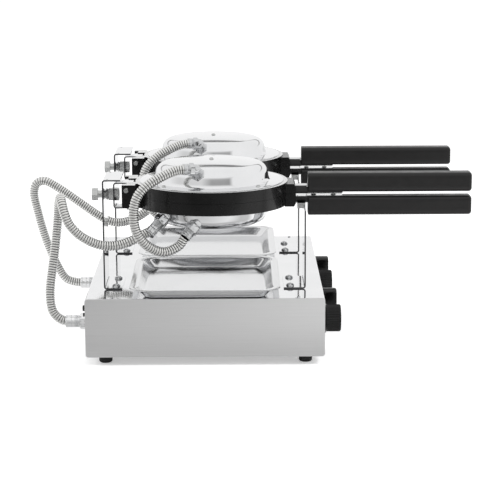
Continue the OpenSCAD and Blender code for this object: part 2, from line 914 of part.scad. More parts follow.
module handle(side, upper) {
    bulge = 1;
    color(black_plastic) in_head(side) mirror([0, 0, upper ? 0 : 1]) difference() {
        translate([0, -arm_front - 1, handle_gap / 2 + handle_h / 2]) rotate([90, 0, 0]) hull() {
            handle_section(0, 2);
            handle_section(2, 0);
            handle_section(handle_l * 0.45, -bulge);
            handle_section(handle_l - 5, 0);
            handle_section(handle_l - 1, 6);
        }
        translate([-tang_w / 2 - 0.2, -arm_front - tang_l - 0.3, 0])
            cube([tang_w + 0.4, tang_l + 2, arm_gap / 2 + tang_h + 0.2]);
        for (y = handle_screws)
            translate([0, -arm_front - y, 0]) cylinder(r = 2.1, h = arm_gap / 2 + tang_h + 8);
    }
}

// Screws of one pan: round the cover, through the dome to the pan, and up into the handle
module pan_screws(side, upper) {
    color(steel) in_head(side) {
        on_pan(upper) {
            at_each_cover_screw() screw(3.4, 1.8, cover_screw_r, cover_t + cover_screw_l);
            translate([0, 0, cover_t + dome_h]) screw(3.2, 1.6, cover_screw_r, cover_t + dome_h);
        }
        mirror([0, 0, upper ? 0 : 1]) for (y = handle_screws)
            translate([0, -arm_front - y, arm_gap / 2]) rotate([180, 0, 0]) screw(4, 1.3, 2, tang_h + 7);
    }
}

module lower_screws(side) {
    pan_screws(side, false);
    color(steel) in_head(side) at_each_yoke_screw() translate([0, 0, yoke_t])
        screw(3.6, 2.4, wall_screw_r, yoke_t + yoke_screw_l);
}

// ---------- drip trays ----------

module tray(side) {
    corner = 26;
    lean = 12;                        // how far the walls lean out from the floor to the rim
    in_w = tray_w - 2 * tray_rim;
    in_d = tray_d - 2 * tray_rim;
    centre = side * (tray_w + tray_gap) / 2;
    color(mirror_steel) placed() translate([centre, 0, top_z + seat_gap]) difference() {
        union() {
            tray_form(in_w, in_d, corner, lean, 0);
            translate([0, 0, tray_h - tray_t]) linear_extrude(tray_t)
                rounded(tray_w, tray_d, corner, $fn = 32);
        }
        translate([0, 0, tray_t])
            tray_form(in_w - 2 * tray_t, in_d - 2 * tray_t, corner - tray_t, lean, 0.01);
    }
}

module tray_form(w, d, r, lean, extra) {
    hull() {
        linear_extrude(0.01) rounded(w - 2 * lean, d - 2 * lean, r - lean, $fn = 32);
        translate([0, 0, tray_h - 0.01]) linear_extrude(0.01 + extra) rounded(w, d, r, $fn = 32);
    }
}

module left_tray() tray(left);
module right_tray() tray(right);

// ---------- conduits ----------

sides = 10;
mouth_gap = 0.1;                      // between a conduit's end and its gland

// Ring of points round p across the direction t, which never runs along X
function ring(p, t, r) =
    let (u = unit(cross(t, [1, 0, 0])), v = cross(t, u))
    [for (k = [0:sides - 1]) p + r * cos(360 * k / sides) * u + r * sin(360 * k / sides) * v];

// Sweeps a round section along the path, square to first and last at its two ends
module tube(path, r, first, last) {
    n = len(path);
    points = [
        for (i = [0:n - 1])
            let (t = i == 0 ? first : i == n - 1 ? last : path[i + 1] - path[i - 1])
            each ring(path[i], unit(t), r)
    ];
    walls = [
        for (i = [0:n - 2], k = [0:sides - 1])
            let (a = i * sides + k, b = i * sides + (k + 1) % sides)
            each [[a, b, a + sides], [b, b + sides, a + sides]]
    ];
    start_cap = [for (k = [sides - 1:-1:0]) k];
    end_cap = [for (k = [0:sides - 1]) (n - 1) * sides + k];
    polyhedron(points, concat([start_cap], walls, [end_cap]));
}

// Points and directions in a cover's frame, turned into the base's frame
function from_lower(side, p) = [side * head_pitch / 2 + p[0], pan_y + p[1], axis_z + block_low - p[2]];
function from_upper(side, p) = [side * head_pitch / 2 + p[0], pan_y + p[1], axis_z + block_top + p[2]];
function flipped(v) = [v[0], v[1], -v[2]];

function supply_mouth(side) = from_lower(side, supply_seat + (gland_l + mouth_gap) * unit(supply_aim));
function link_low_mouth(side) = from_lower(side, link_seat + (gland_l + mouth_gap) * unit(link_aim));
function link_top_mouth(side) = from_upper(
    side, upper_seat + elbow_l * unit(upper_aim) + (outlet_l + mouth_gap) * unit(elbow_aim)
);
function outlet_mouth(x) = [x, rear_tip + mouth_gap, foot_h + outlet_z];

left_supply_route = [
    [-166, 196, 56], [-165, 207, 68], [-162, 210, 92], [-158, 207, 120], [-152, 203, 148],
    [-146, 200, 176], [-143, 198, 197], [-147, 196, 213], [-158, 193, 221], [-170, 190, 216],
    [-178, 186, 204], [-183, 179, 189], [-185, 164, 174], [-185, 142, 163], [-184, 119, 161],
    [-182, 98, 167]
];

right_supply_route = [
    [64, 198, 54], [64, 212, 60], [65, 223, 78], [66, 235, 105], [66, 244, 134],
    [66, 251, 163], [65, 255, 186], [63, 251, 202], [60, 238, 207], [57, 221, 199],
    [54, 201, 186], [52, 180, 171], [50, 158, 156], [49, 137, 147], [50, 115, 149],
    [51, 93, 160]
];

// Steps of the link conduit from the turning axis and the base's centre; both heads have the same
link_steps = [
    [-88, 36, 46], [-94, 53, 40], [-100, 73, 29], [-103, 87, 13], [-103, 92, -10],
    [-101, 88, -34], [-96, 74, -53], [-90, 54, -62], [-84, 35, -56]
];

module supply_tube(side, route) {
    path = concat([outlet_mouth(route[0][0])], route, [supply_mouth(side)]);
    tube(path, conduit_d / 2, [0, 1, 0], -flipped(supply_aim));
}

module left_supply_conduit() {
    color("silver") placed() supply_tube(left, left_supply_route);
}

module right_supply_conduit() {
    color("silver") placed() supply_tube(right, right_supply_route);
}

module link_conduit(side) {
    centre = [side * head_pitch / 2, 0, axis_z];
    path = concat([link_top_mouth(side)], [for (p = link_steps) centre + p], [link_low_mouth(side)]);
    color("silver") placed() tube(path, conduit_d / 2, elbow_aim, -flipped(link_aim));
}

base_shell();
side_panels();
base_plate();
rubber_feet();
base_screws();
rear_uprights();
front_uprights();
cradles();
pivot_bushes();
rear_glands();
rear_bumpers();
terminal_block();
thermostats();
timers();
pilot_lights();
left_thermostat_knob();
left_timer_knob();
right_thermostat_knob();
right_timer_knob();
left_tray();
right_tray();
pivot_bolt(left);  // left_pivot_bolt
yoke(left);  // left_yoke
lower_pan(left);  // left_lower_pan
lower_cover(left);  // left_lower_cover
lower_element(left);  // left_lower_element
arm(left, false);  // left_lower_arm
handle(left, false);  // left_lower_handle
hinge_pin(left);  // left_hinge_pin
lower_glands(left);  // left_lower_glands
lower_screws(left);  // left_lower_screws
upper_pan(left);  // left_upper_pan
upper_cover(left);  // left_upper_cover
upper_element(left);  // left_upper_element
arm(left, true);  // left_upper_arm
handle(left, true);  // left_upper_handle
upper_gland(left);  // left_upper_gland
pan_screws(left, true);  // left_upper_screws
pivot_bolt(right);  // right_pivot_bolt
yoke(right);  // right_yoke
lower_pan(right);  // right_lower_pan
lower_cover(right);  // right_lower_cover
lower_element(right);  // right_lower_element
arm(right, false);  // right_lower_arm
handle(right, false);  // right_lower_handle
hinge_pin(right);  // right_hinge_pin
lower_glands(right);  // right_lower_glands
lower_screws(right);  // right_lower_screws
upper_pan(right);  // right_upper_pan
upper_cover(right);  // right_upper_cover
upper_element(right);  // right_upper_element
arm(right, true);  // right_upper_arm
handle(right, true);  // right_upper_handle
upper_gland(right);  // right_upper_gland
pan_screws(right, true);  // right_upper_screws
left_supply_conduit();
link_conduit(left);  // left_link_conduit
right_supply_conduit();
link_conduit(right);  // right_link_conduit
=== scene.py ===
# Waffle cone maker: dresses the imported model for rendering.
# The object's own frame is used throughout, in metres; most settings are in millimetres, times mm,
# and angles are in degrees.
import json
import math

import bmesh
import bpy
import numpy as np
from mathutils import Matrix, Vector


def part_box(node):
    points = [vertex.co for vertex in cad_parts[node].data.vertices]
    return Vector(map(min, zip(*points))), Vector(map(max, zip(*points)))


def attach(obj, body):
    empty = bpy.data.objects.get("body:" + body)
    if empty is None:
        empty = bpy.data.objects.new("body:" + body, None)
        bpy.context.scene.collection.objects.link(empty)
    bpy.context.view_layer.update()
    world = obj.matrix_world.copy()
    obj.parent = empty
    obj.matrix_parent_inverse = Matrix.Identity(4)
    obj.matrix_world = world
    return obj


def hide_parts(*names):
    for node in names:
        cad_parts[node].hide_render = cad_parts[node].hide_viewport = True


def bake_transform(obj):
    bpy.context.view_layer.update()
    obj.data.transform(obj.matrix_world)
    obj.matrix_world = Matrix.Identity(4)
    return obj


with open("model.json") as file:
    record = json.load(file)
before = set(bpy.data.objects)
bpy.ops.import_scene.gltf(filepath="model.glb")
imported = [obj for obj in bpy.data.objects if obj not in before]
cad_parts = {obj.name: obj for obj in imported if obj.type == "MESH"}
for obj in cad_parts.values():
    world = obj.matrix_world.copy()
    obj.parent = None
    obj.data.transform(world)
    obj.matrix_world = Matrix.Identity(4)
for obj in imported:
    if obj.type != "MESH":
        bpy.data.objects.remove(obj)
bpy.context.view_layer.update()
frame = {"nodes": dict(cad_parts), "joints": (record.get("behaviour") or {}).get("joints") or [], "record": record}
nodes = frame["nodes"]
joints = {joint["name"]: joint for joint in frame["joints"]}
nodeSlot = {entry["node"]: entry["material_slot"] for entry in frame["record"]["subparts"]}
nodeBody = {name: body for body, names in frame["record"]["behaviour"]["bodies"].items() for name in names}
sides = ("left", "right")
mm = 0.001
mergeDistance = 2e-6        # points closer than this are one point

baseLow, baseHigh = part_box("base_shell")
baseCentre = np.array([(baseLow.x + baseHigh.x) / 2, (baseLow.y + baseHigh.y) / 2, 0])
headX = {side: joints[side + "_flip"]["pos_m"][0] for side in sides}
axisHeight = joints["left_flip"]["pos_m"][2]
print("frame loaded:", len(nodes), "nodes")

cameraView = {
    "imageWidth": 500,
    "focalPixels": 1663.5,
    "spot": (-2.3512, -0.0407, 0.6203),     # metres from the base's centre
    "yaw": 0.52,                            # turned towards -Y from +X
    "pitch": 12.14,                         # looking down
    "roll": -0.19,
}


def addCamera(view):
    yaw, pitch = math.radians(view["yaw"]), math.radians(view["pitch"])
    forward = Vector((
        math.cos(yaw) * math.cos(pitch),
        -math.sin(yaw) * math.cos(pitch),
        -math.sin(pitch),
    ))
    data = bpy.data.cameras.new("camera")
    data.sensor_width = 36
    data.lens = 36 * view["focalPixels"] / view["imageWidth"]
    data.clip_end = 100
    camera = bpy.data.objects.new("camera", data)
    turn = forward.to_track_quat("-Z", "Y").to_matrix() @ Matrix.Rotation(math.radians(view["roll"]), 3, "Z")
    camera.matrix_world = Matrix.Translation(Vector(baseCentre + np.array(view["spot"]))) @ turn.to_4x4()
    bpy.context.scene.collection.objects.link(camera)
    bpy.context.scene.camera = camera


addCamera(cameraView)
print("camera placed")


def unitRows(vectors):
    return vectors / np.linalg.norm(vectors, axis=-1, keepdims=True)


def gridFaces(rows, columns):
    # quads between neighbours of a rows x columns grid of points whose rows are closed loops
    a, b = np.meshgrid(np.arange(rows - 1), np.arange(columns), indexing="ij")
    up, across = a + 1, (b + 1) % columns
    quads = [a * columns + b, a * columns + across, up * columns + across, up * columns + b]
    return np.stack(quads, -1).reshape(-1, 4)


def addMesh(name, points, faces):
    mesh = bpy.data.meshes.new(name)
    mesh.from_pydata(points.tolist(), [], [list(map(int, face)) for face in faces])
    mesh.update()
    piece = bpy.data.objects.new(name, mesh)
    bpy.context.scene.collection.objects.link(piece)
    return piece


def finishMesh(piece, sharpAngle):
    # normals outwards, and smooth shading that breaks at edges sharper than the angle
    work = bmesh.new()
    work.from_mesh(piece.data)
    bmesh.ops.remove_doubles(work, verts=work.verts, dist=mergeDistance)
    bmesh.ops.dissolve_degenerate(work, edges=work.edges, dist=1e-7)
    bmesh.ops.recalc_face_normals(work, faces=work.faces)
    for face in work.faces:
        face.smooth = True
    for edge in work.edges:
        edge.smooth = len(edge.link_faces) == 2 and edge.calc_face_angle(0) < math.radians(sharpAngle)
    work.to_mesh(piece.data)
    work.free()
    return piece


def loft(name, rings, sharpAngle=35, capped=True, marks=None):
    # skin over a stack of rings; capped puts a flat face on the first and the last, where they aren't
    # points; marks holds one number for each ring, kept on its points as "mark"
    rings = np.asarray(rings)
    rows, columns = rings.shape[:2]
    faces = gridFaces(rows, columns).tolist()
    if capped:
        faces += [list(range(columns))[::-1], [(rows - 1) * columns + k for k in range(columns)]]
    piece = addMesh(name, rings.reshape(-1, 3), faces)
    if marks is not None:
        attribute = piece.data.attributes.new("mark", "FLOAT", "POINT")
        attribute.data.foreach_set("value", np.repeat(marks, columns))
    return finishMesh(piece, sharpAngle)


def joined(name, pieces):
    # one object from several, each with its own shading kept
    work = bmesh.new()
    for piece in pieces:
        work.from_mesh(piece.data)
    mesh = bpy.data.meshes.new(name)
    work.to_mesh(mesh)
    work.free()
    for piece in pieces:
        bpy.data.objects.remove(piece)
    whole = bpy.data.objects.new(name, mesh)
    bpy.context.scene.collection.objects.link(whole)
    return whole


def revolved(profile, centre, axis, count=128, ripple=None):
    # the profile's (radius, height) pairs carried round the axis through the centre;
    # ripple(angle, radius, height) may change the radius
    axis = unitRows(np.array(axis, float))
    first = unitRows(np.cross(axis, [0.0, 1.0, 0.0] if abs(axis[1]) < 0.9 else [1.0, 0.0, 0.0]))
    second = np.cross(axis, first)
    radius, height = np.array(profile, float).T
    angle = np.linspace(0, 2 * np.pi, count, endpoint=False)
    radius = np.repeat(radius[:, None], count, axis=1)
    if ripple:
        radius = ripple(angle[None, :], radius, height[:, None])
    return (
        np.array(centre)
        + (radius * np.cos(angle))[..., None] * first
        + (radius * np.sin(angle))[..., None] * second
        + height[:, None, None] * axis
    )


def roundedLoop(halfX, halfY, corner, perCorner=8, perSide=6):
    # a rectangle with round corners as (x, y) pairs: four arcs, with the straight sides between them
    turn = np.linspace(0, np.pi / 2, perCorner + 1)
    centres = [(halfX - corner, halfY - corner), (corner - halfX, halfY - corner),
               (corner - halfX, corner - halfY), (halfX - corner, corner - halfY)]
    arcs = [
        np.stack([x + corner * np.cos(turn + k * np.pi / 2), y + corner * np.sin(turn + k * np.pi / 2)], 1)
        for k, (x, y) in enumerate(centres)
    ]
    steps = np.linspace(0, 1, perSide + 1)[1:-1, None]      # without the ends, which the arcs hold
    loop = []
    for k in range(4):
        loop += [arcs[k], arcs[k][-1] + (arcs[(k + 1) % 4][0] - arcs[k][-1]) * steps]
    return np.vstack(loop)


def arcPoints(centre, radius, start, stop, count):
    # (x, y) pairs on an arc, angles in degrees
    turn = np.radians(np.linspace(start, stop, count))
    return [(centre[0] + radius * math.cos(t), centre[1] + radius * math.sin(t)) for t in turn]


def smoothRoute(points, step):
    # cubic through the points: each stretch is a Hermite curve whose end slopes are
    # half the step between the point's neighbours, then evened out by length
    points = np.asarray(points, float)
    before = np.vstack([2 * points[0] - points[1], points[:-1]])
    after = np.vstack([points[1:], 2 * points[-1] - points[-2]])
    slopes = (after - before) / 2
    t = np.linspace(0, 1, 24, endpoint=False)[None, :, None]
    p, q = points[:-1, None], points[1:, None]
    m, n = slopes[:-1, None], slopes[1:, None]
    fromP, leaving = 2 * t**3 - 3 * t**2 + 1, t**3 - 2 * t**2 + t
    curve = fromP * p + leaving * m + (1 - fromP) * q + (t**3 - t**2) * n
    curve = np.vstack([curve.reshape(-1, 3), points[-1:]])
    along = np.concatenate([[0], np.cumsum(np.linalg.norm(np.diff(curve, axis=0), axis=1))])
    count = int(round(along[-1] / step)) + 1
    even = np.linspace(0, along[-1], count)
    return np.stack([np.interp(even, along, curve[:, k]) for k in range(3)], 1), even


conduit = {
    "diameter": 13 * mm,
    "turn": 3.4 * mm,       # length of one turn of the strip
    "groove": 1.0 * mm,     # depth of the groove between turns
    "samples": 8,           # rings in one turn
    "around": 24,
    # where a conduit would start to turn with the head and where it fully would, worked out below but not used:
    # metres behind the base's centre at this height for the supply, and above the turning axis for the link
    "supplyTurn": (0.150, 0.078), "supplyTurnHeight": 0.17,
    "linkTurn": (0.040, -0.045),
}

# millimetres from the base's centre and the floor, from the outlet to the head
routes = {
    "left_supply": [
        (-166, 184.1, 53), (-166, 196, 56), (-165, 207, 68), (-162, 210, 92), (-158, 207, 120),
        (-152, 203, 148), (-146, 200, 176), (-143, 198, 197), (-147, 196, 213), (-158, 193, 221),
        (-170, 190, 216), (-178, 186, 204), (-183, 179, 189), (-185, 164, 174), (-185, 142, 163),
        (-184, 119, 161), (-182, 98, 167), (-176.3, 68.6, 180.9),
    ],
    "right_supply": [
        (64, 184.1, 53), (64, 198, 54), (64, 212, 60), (65, 223, 78), (66, 235, 105), (66, 244, 134),
        (66, 251, 163), (65, 255, 186), (63, 251, 202), (60, 238, 207), (57, 221, 199),
        (54, 201, 186), (52, 180, 171), (50, 158, 156), (49, 137, 147), (50, 115, 149),
        (51, 93, 160), (53.7, 68.6, 180.9),
    ],
}
# the same on both heads, from the turning axis
linkRoute = [
    (-85.9, 21.6, 47.4), (-88, 36, 46), (-94, 53, 40), (-100, 73, 29), (-103, 87, 13), (-103, 92, -10),
    (-101, 88, -34), (-96, 74, -53), (-90, 54, -62), (-84, 35, -56), (-82.0, 26.5, -45.5),
]


def addConduit(name, points):
    path, along = smoothRoute(np.array(points) * mm + baseCentre, conduit["turn"] / conduit["samples"])
    heading = unitRows(np.gradient(path, axis=0))
    across = unitRows(np.cross(heading, [1.0, 0.0, 0.0]))  # no route runs along X
    other = np.cross(heading, across)
    # a circle carried along the route; its radius dips to a narrow groove once in each turn of the strip,
    # by the sixth power of a cosine
    depth = np.cos(np.pi * along / conduit["turn"]) ** 6
    radius = conduit["diameter"] / 2 - conduit["groove"] * depth
    angle = np.linspace(0, 2 * np.pi, conduit["around"], endpoint=False)
    rings = (
        path[:, None]
        + radius[:, None, None] * np.cos(angle)[None, :, None] * across[:, None]
        + radius[:, None, None] * np.sin(angle)[None, :, None] * other[:, None]
    )
    # the groove's depth stays on the points as "mark", from which the finish paints shade into the grooves
    piece = loft(name, rings, sharpAngle=80, marks=depth)
    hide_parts(name + "_conduit")
    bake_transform(piece)
    print("conduit", name, "is", round(float(along[-1]), 3), "long")
    return piece


dressed = {"conduit_steel": []}     # finish to the new pieces that take it
for side in sides:
    x, y, z = headX[side], baseCentre[1], axisHeight
    start, end = [(x, y + back, conduit["supplyTurnHeight"]) for back in conduit["supplyTurn"]]
    dressed["conduit_steel"].append(addConduit(
        side + "_supply", routes[side + "_supply"],
    ))
    linkPoints = [(px + x / mm, py, pz + z / mm) for px, py, pz in linkRoute]
    start, end = [(x, y, z + up) for up in conduit["linkTurn"]]
    dressed["conduit_steel"].append(addConduit(
        side + "_link", linkPoints,
    ))
print("conduits made")


def carry(piece, node, finish=None):
    # the piece moves with the node's body and takes its slot
    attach(piece, nodeBody[node])
    dressed.setdefault(finish or nodeSlot[node], []).append(piece)


def dress(piece, node):
    # the piece stands for the node
    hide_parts(node)
    carry(piece, node)


easedEdges = {
    # node ending: edge radius in millimetres, for nodes whose shape is right; 0 only merges their seams
    "base_shell": 0.0, "side_panels": 0.5, "rear_uprights": 0.3, "front_uprights": 0.3, "cradles": 0.5,
    "_yoke": 0.3, "_lower_pan": 0.7, "_upper_pan": 0.7, "_pivot_bolt": 0.3, "_hinge_pin": 0.3,
    "rubber_feet": 0.4, "rear_bumpers": 0.4, "pilot_lights": 0.2,
    "base_screws": 0.0, "_screws": 0.0, "base_plate": 0.0,
}


def easedCopy(node, radius):
    # the node's own shape with its seams merged, flat parts joined, and its edges eased
    piece = bpy.data.objects.new(node + ".eased", nodes[node].data.copy())
    bpy.context.scene.collection.objects.link(piece)
    work = bmesh.new()
    work.from_mesh(piece.data)
    bmesh.ops.remove_doubles(work, verts=work.verts, dist=mergeDistance)
    bmesh.ops.dissolve_limit(
        work, angle_limit=math.radians(0.4), verts=work.verts, edges=work.edges, use_dissolve_boundaries=False
    )
    for face in work.faces:
        face.smooth = True
    for edge in work.edges:
        edge.smooth = len(edge.link_faces) == 2 and edge.calc_face_angle(0) < math.radians(30)
    work.to_mesh(piece.data)
    work.free()
    if radius:
        bevel = piece.modifiers.new("easedEdges", "BEVEL")
        bevel.width = radius * mm
        bevel.segments = 2
        bevel.limit_method = "ANGLE"
        bevel.angle_limit = math.radians(40)
        bevel.harden_normals = True
        bevel.use_clamp_overlap = True
    dress(piece, node)


for name in list(nodes):
    radius = next((radius for ending, radius in easedEdges.items() if name.endswith(ending)), None)
    if radius is not None:
        easedCopy(name, radius)
print("edges eased")

cover = {
    "rim": 98, "dome": 79, "sheet": 1.2,        # radii of the flat rim and of the wall's foot
    "fillet": 1.6,                              # where the wall meets the flat rim
    "draft": 13,                                # the wall leans in, in degrees
    "corner": 16, "cornerHeight": 8.0,          # the corner's radius and the height of its centre
    "crown": 6.5,                               # slope of the flat top where it meets the corner
    "around": 144,
}


def coverProfile(c):
    # half section: a shallow spherical top, a round corner tangent to it, and a straight wall leaning in
    # by the draft, with a fillet to the flat rim, a rolled edge, and the same section one sheet lower inside
    lean, slope = math.radians(c["draft"]), math.radians(c["crown"])
    centre = c["dome"] - (c["corner"] + c["cornerHeight"] * math.sin(lean)) / math.cos(lean)
    topRadius = centre / math.sin(slope) + c["corner"]
    topCentre = c["cornerHeight"] - (topRadius - c["corner"]) * math.cos(slope)
    top = arcPoints((0, topCentre), topRadius, 90, 90 - c["crown"], 14)[:-1]
    corner = arcPoints((centre, c["cornerHeight"]), c["corner"], 90 - c["crown"], c["draft"], 20)
    foot = (c["dome"] - c["fillet"] * math.tan(lean), c["fillet"])
    shape = [(0, top[0][1])] + top[1:] + corner
    wall = [tuple(np.array(corner[-1]) + (np.array(foot) - corner[-1]) * t) for t in (0.33, 0.66, 1.0)]
    outer = [(a, b + c["sheet"]) for a, b in shape + wall]
    fillet = arcPoints((c["dome"] + c["fillet"], c["sheet"] + c["fillet"]), c["fillet"], 200, 270, 6)
    edge = arcPoints((c["rim"] - c["sheet"] / 2, c["sheet"] / 2), c["sheet"] / 2, 90, -90, 7)
    inside = [(a * (1 - c["sheet"] / c["dome"]), b) for a, b in (shape + wall)[::-1]]
    return np.array(outer + fillet + edge + [(c["dome"] - c["sheet"], 0)] + inside) * mm


coverBoxes = {side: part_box(side + "_upper_cover") for side in sides}
coverY = {side: (low.y + high.y) / 2 for side, (low, high) in coverBoxes.items()}
for side in sides:
    for level, up in (("upper", 1), ("lower", -1)):
        node = side + "_" + level + "_cover"
        low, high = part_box(node)
        centre = (headX[side], coverY[side], low.z if up > 0 else high.z)
        rings = revolved(coverProfile(cover), centre, (0, 0, up), count=cover["around"])
        dress(loft(node + ".dome", rings, sharpAngle=60, capped=False), node)
print("domes made")

tray = {"rim": 8, "lean": 12, "sheet": 1.0, "corner": 26}     # the wall leans in by this much


def addTray(node):
    # a rectangle with round corners, drawn in by each inset of the section and raised to its height
    low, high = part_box(node)
    centre = (np.array(low) + np.array(high)) / 2
    halfX, halfY = (high.x - low.x) / 2 / mm, (high.y - low.y) / 2 / mm
    height = (high.z - low.z) / mm
    wall, foot, t = tray["rim"], tray["rim"] + tray["lean"], tray["sheet"]
    # (distance in from the rim's edge, height) pairs, up the outside and down the inside
    section = [
        (foot + 1.6, 0.0), (foot + 0.4, 0.1), (foot - 0.4, 0.6), (foot - 1.2, 1.4),
        (wall + 2.6, height - 4.0), (wall + 1.2, height - 2.0), (wall - 0.6, height - t), (1.2, height - t),
        (0.45, height - 0.85), (0.2, height - 0.5), (0.45, height - 0.15), (1.2, height),
        (wall - 1.0, height), (wall + 0.6, height - 0.5), (wall + 1.9, height - 1.6),
        (wall + 3.3, height - 3.2), (foot - 1.2, 3.0), (foot + 0.8, 1.7), (foot + 3.0, 1.1), (foot + 6.0, t),
    ]
    rings = []
    for inset, z in section:
        corner = tray["corner"] - max(0, inset - wall)
        loop = roundedLoop(halfX - inset, halfY - inset, corner, perCorner=12, perSide=10)
        rings.append(np.column_stack([loop[:, 0] * mm + centre[0], loop[:, 1] * mm + centre[1],
                                      np.full(len(loop), low.z + z * mm)]))
    dress(loft(node + ".pan", rings, sharpAngle=50), node)


for side in sides:
    addTray(side + "_tray")
print("trays made")

handle = {"corner": 5.5, "endRound": 1.6, "tipRound": 4.0, "bulge": 0.5, "rings": 17}
arm = {
    "radius": 13.3, "tangWidth": 22, "tangHeight": 9, "edge": 0.6,
    "gap": 3.6,                                     # between the arms of the two halves
    "tip": 0.5, "tipSize": 0.97, "tipHeight": 5,    # the front end shrinks to this size, about this height
}


def addHandle(node):
    # a rectangle with round corners carried along Y, drawn in at both ends by a quarter circle
    low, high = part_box(node)
    halfX, halfZ = (high.x - low.x) / 2 / mm - handle["bulge"], (high.z - low.z) / 2 / mm
    length = (high.y - low.y) / mm
    turn = np.linspace(0, np.pi / 2, 7)
    starts = handle["endRound"] * (1 - np.cos(turn)), handle["endRound"] * (1 - np.sin(turn))
    ends = handle["tipRound"] * (1 - np.cos(turn)), handle["tipRound"] * (1 - np.sin(turn))
    middle = np.linspace(0.05, 0.95, handle["rings"]) * length
    along = np.concatenate([starts[0], middle, length - ends[0][::-1]])
    shrink = np.concatenate([starts[1], np.zeros(len(middle)), ends[1][::-1]])
    rings = []
    for d, inset in zip(along, shrink):
        # fuller in the middle of its length
        full = handle["bulge"] * math.sin(math.pi * d / length)
        corner = handle["corner"] - inset * 0.9     # less than the sides, so that it never closes
        loop = roundedLoop(halfX + full - inset, halfZ - inset, corner, perCorner=8, perSide=5)
        rings.append(np.column_stack([
            loop[:, 0] * mm + (low.x + high.x) / 2, np.full(len(loop), high.y - d * mm),
            loop[:, 1] * mm + (low.z + high.z) / 2,
        ]))
    dress(loft(node + ".grip", rings, sharpAngle=70), node)


def addArm(node, side, up):
    # half-round neck from the pan's boss, and the tang that the handle hides, each a profile along Y
    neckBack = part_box(node.replace("_arm", "_pan"))[0].y + 1 * mm
    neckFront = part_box(node.replace("_arm", "_handle"))[1].y + 1 * mm
    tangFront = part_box(node)[0].y
    start = math.degrees(math.asin(arm["gap"] / 2 / arm["radius"]))
    neck = np.array(arcPoints((0, 0), arm["radius"], start, 180 - start, 33))
    tang = roundedLoop(arm["tangWidth"] / 2, arm["tangHeight"] / 2, arm["edge"], 3, 4)
    tang = tang + (0, arm["gap"] / 2 + arm["tangHeight"] / 2)
    parts = []
    for profile, back, front in ((neck, neckBack, neckFront), (tang, neckFront + 1 * mm, tangFront)):
        rings = []
        for y, size in ((back, 1), (front + arm["tip"] * mm, 1), (front, arm["tipSize"])):
            z = profile[:, 1] * size + (1 - size) * arm["tipHeight"]
            rings.append(np.column_stack([profile[:, 0] * size * mm + headX[side],
                                          np.full(len(profile), y), up * z * mm + axisHeight]))
        parts.append(loft("part", rings, sharpAngle=25))
    dress(joined(node + ".bar", parts), node)


for side in sides:
    for level, up in (("upper", 1), ("lower", -1)):
        addHandle(side + "_" + level + "_handle")
        addArm(side + "_" + level + "_arm", side, up)
print("handles made")

knob = {
    "radius": 18.6, "skirt": 21.5, "skirtThick": 3.0, "length": 23.5,
    "seatGap": 0.3,             # from the casing's front to the skirt
    "ribs": 36, "ribDepth": 0.8,
    "gripHalf": 10.5,           # half the thickness of a plain knob's grip
    "gripFrom": 6.5,            # how far out the grip begins
    "pointerHalf": (0.8, 3.6),  # half width and half length of the line
    "pointerIn": 5.6,           # from the knob's radius to the line's outer end
}


def addKnob(node, ribbed):
    low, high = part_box(node)
    x, z = (low.x + high.x) / 2, (low.z + high.z) / 2
    r, skirt, thick, length = (knob[key] for key in ("radius", "skirt", "skirtThick", "length"))
    face = baseLow.y - knob["seatGap"] * mm
    # (radius, height) pairs: the skirt, the round body and the shallow dish in its face
    section = [
        (2.0, 0), (skirt - 0.8, 0), (skirt, 0.7), (skirt - 0.5, thick - 0.7), (skirt - 1.4, thick),
        (r + 0.8, thick + 0.1), (r, thick + 0.9), (r, 6), (r, 8), (r, 14), (r, length - 2.2),
        (r - 0.4, length - 1.0), (r - 1.5, length), (r - 4.0, length - 0.1), (r - 5.0, length - 0.7),
        (0.0, length - 0.7),
    ]

    def ribs(angle, radius, height):
        # fine ribs above the skirt: the radius dips by the depth between them
        deep = np.clip((height / mm - 3.6) / 1.2, 0, 1) * (radius > (r - 0.6) * mm)
        return radius - deep * knob["ribDepth"] * mm * np.abs(np.sin(angle * knob["ribs"] / 2)) ** 0.6

    profile = np.array(section) * mm
    if ribbed:
        rings = revolved(profile, (x, face, z), (0, -1, 0), count=288, ripple=ribs)
    else:
        # a bar to grip: the round body is cut flat on both sides in front of its base
        rings = revolved(profile, (x, face, z), (0, -1, 0), count=96)
        front = np.clip((face - rings[..., 1]) / mm - knob["gripFrom"], 0, 1)
        offset = rings[..., 0] - x
        flat = np.clip(offset, -knob["gripHalf"] * mm, knob["gripHalf"] * mm)
        rings[..., 0] = x + offset + (flat - offset) * front
    dress(loft(node + ".knob", rings, sharpAngle=32, capped=False), node)
    # the pointer line, a low bar on the face: (height, share of its size) pairs
    halfWidth, halfLength = knob["pointerHalf"]
    bar = roundedLoop(halfWidth, halfLength, 0.7, 4, 2) * mm
    middle = z + (r - knob["pointerIn"] - halfLength) * mm
    rings = [
        np.column_stack([x + bar[:, 0] * s, np.full(len(bar), face - h * mm), middle + bar[:, 1] * s])
        for h, s in ((length - 0.9, 1), (length - 0.55, 1), (length - 0.5, 0.9))
    ]
    carry(loft(node + ".pointer", rings, sharpAngle=40), node, "pointer")


for side in sides:
    addKnob(side + "_thermostat_knob", side == "left")
    addKnob(side + "_timer_knob", side == "right")
print("knobs made")

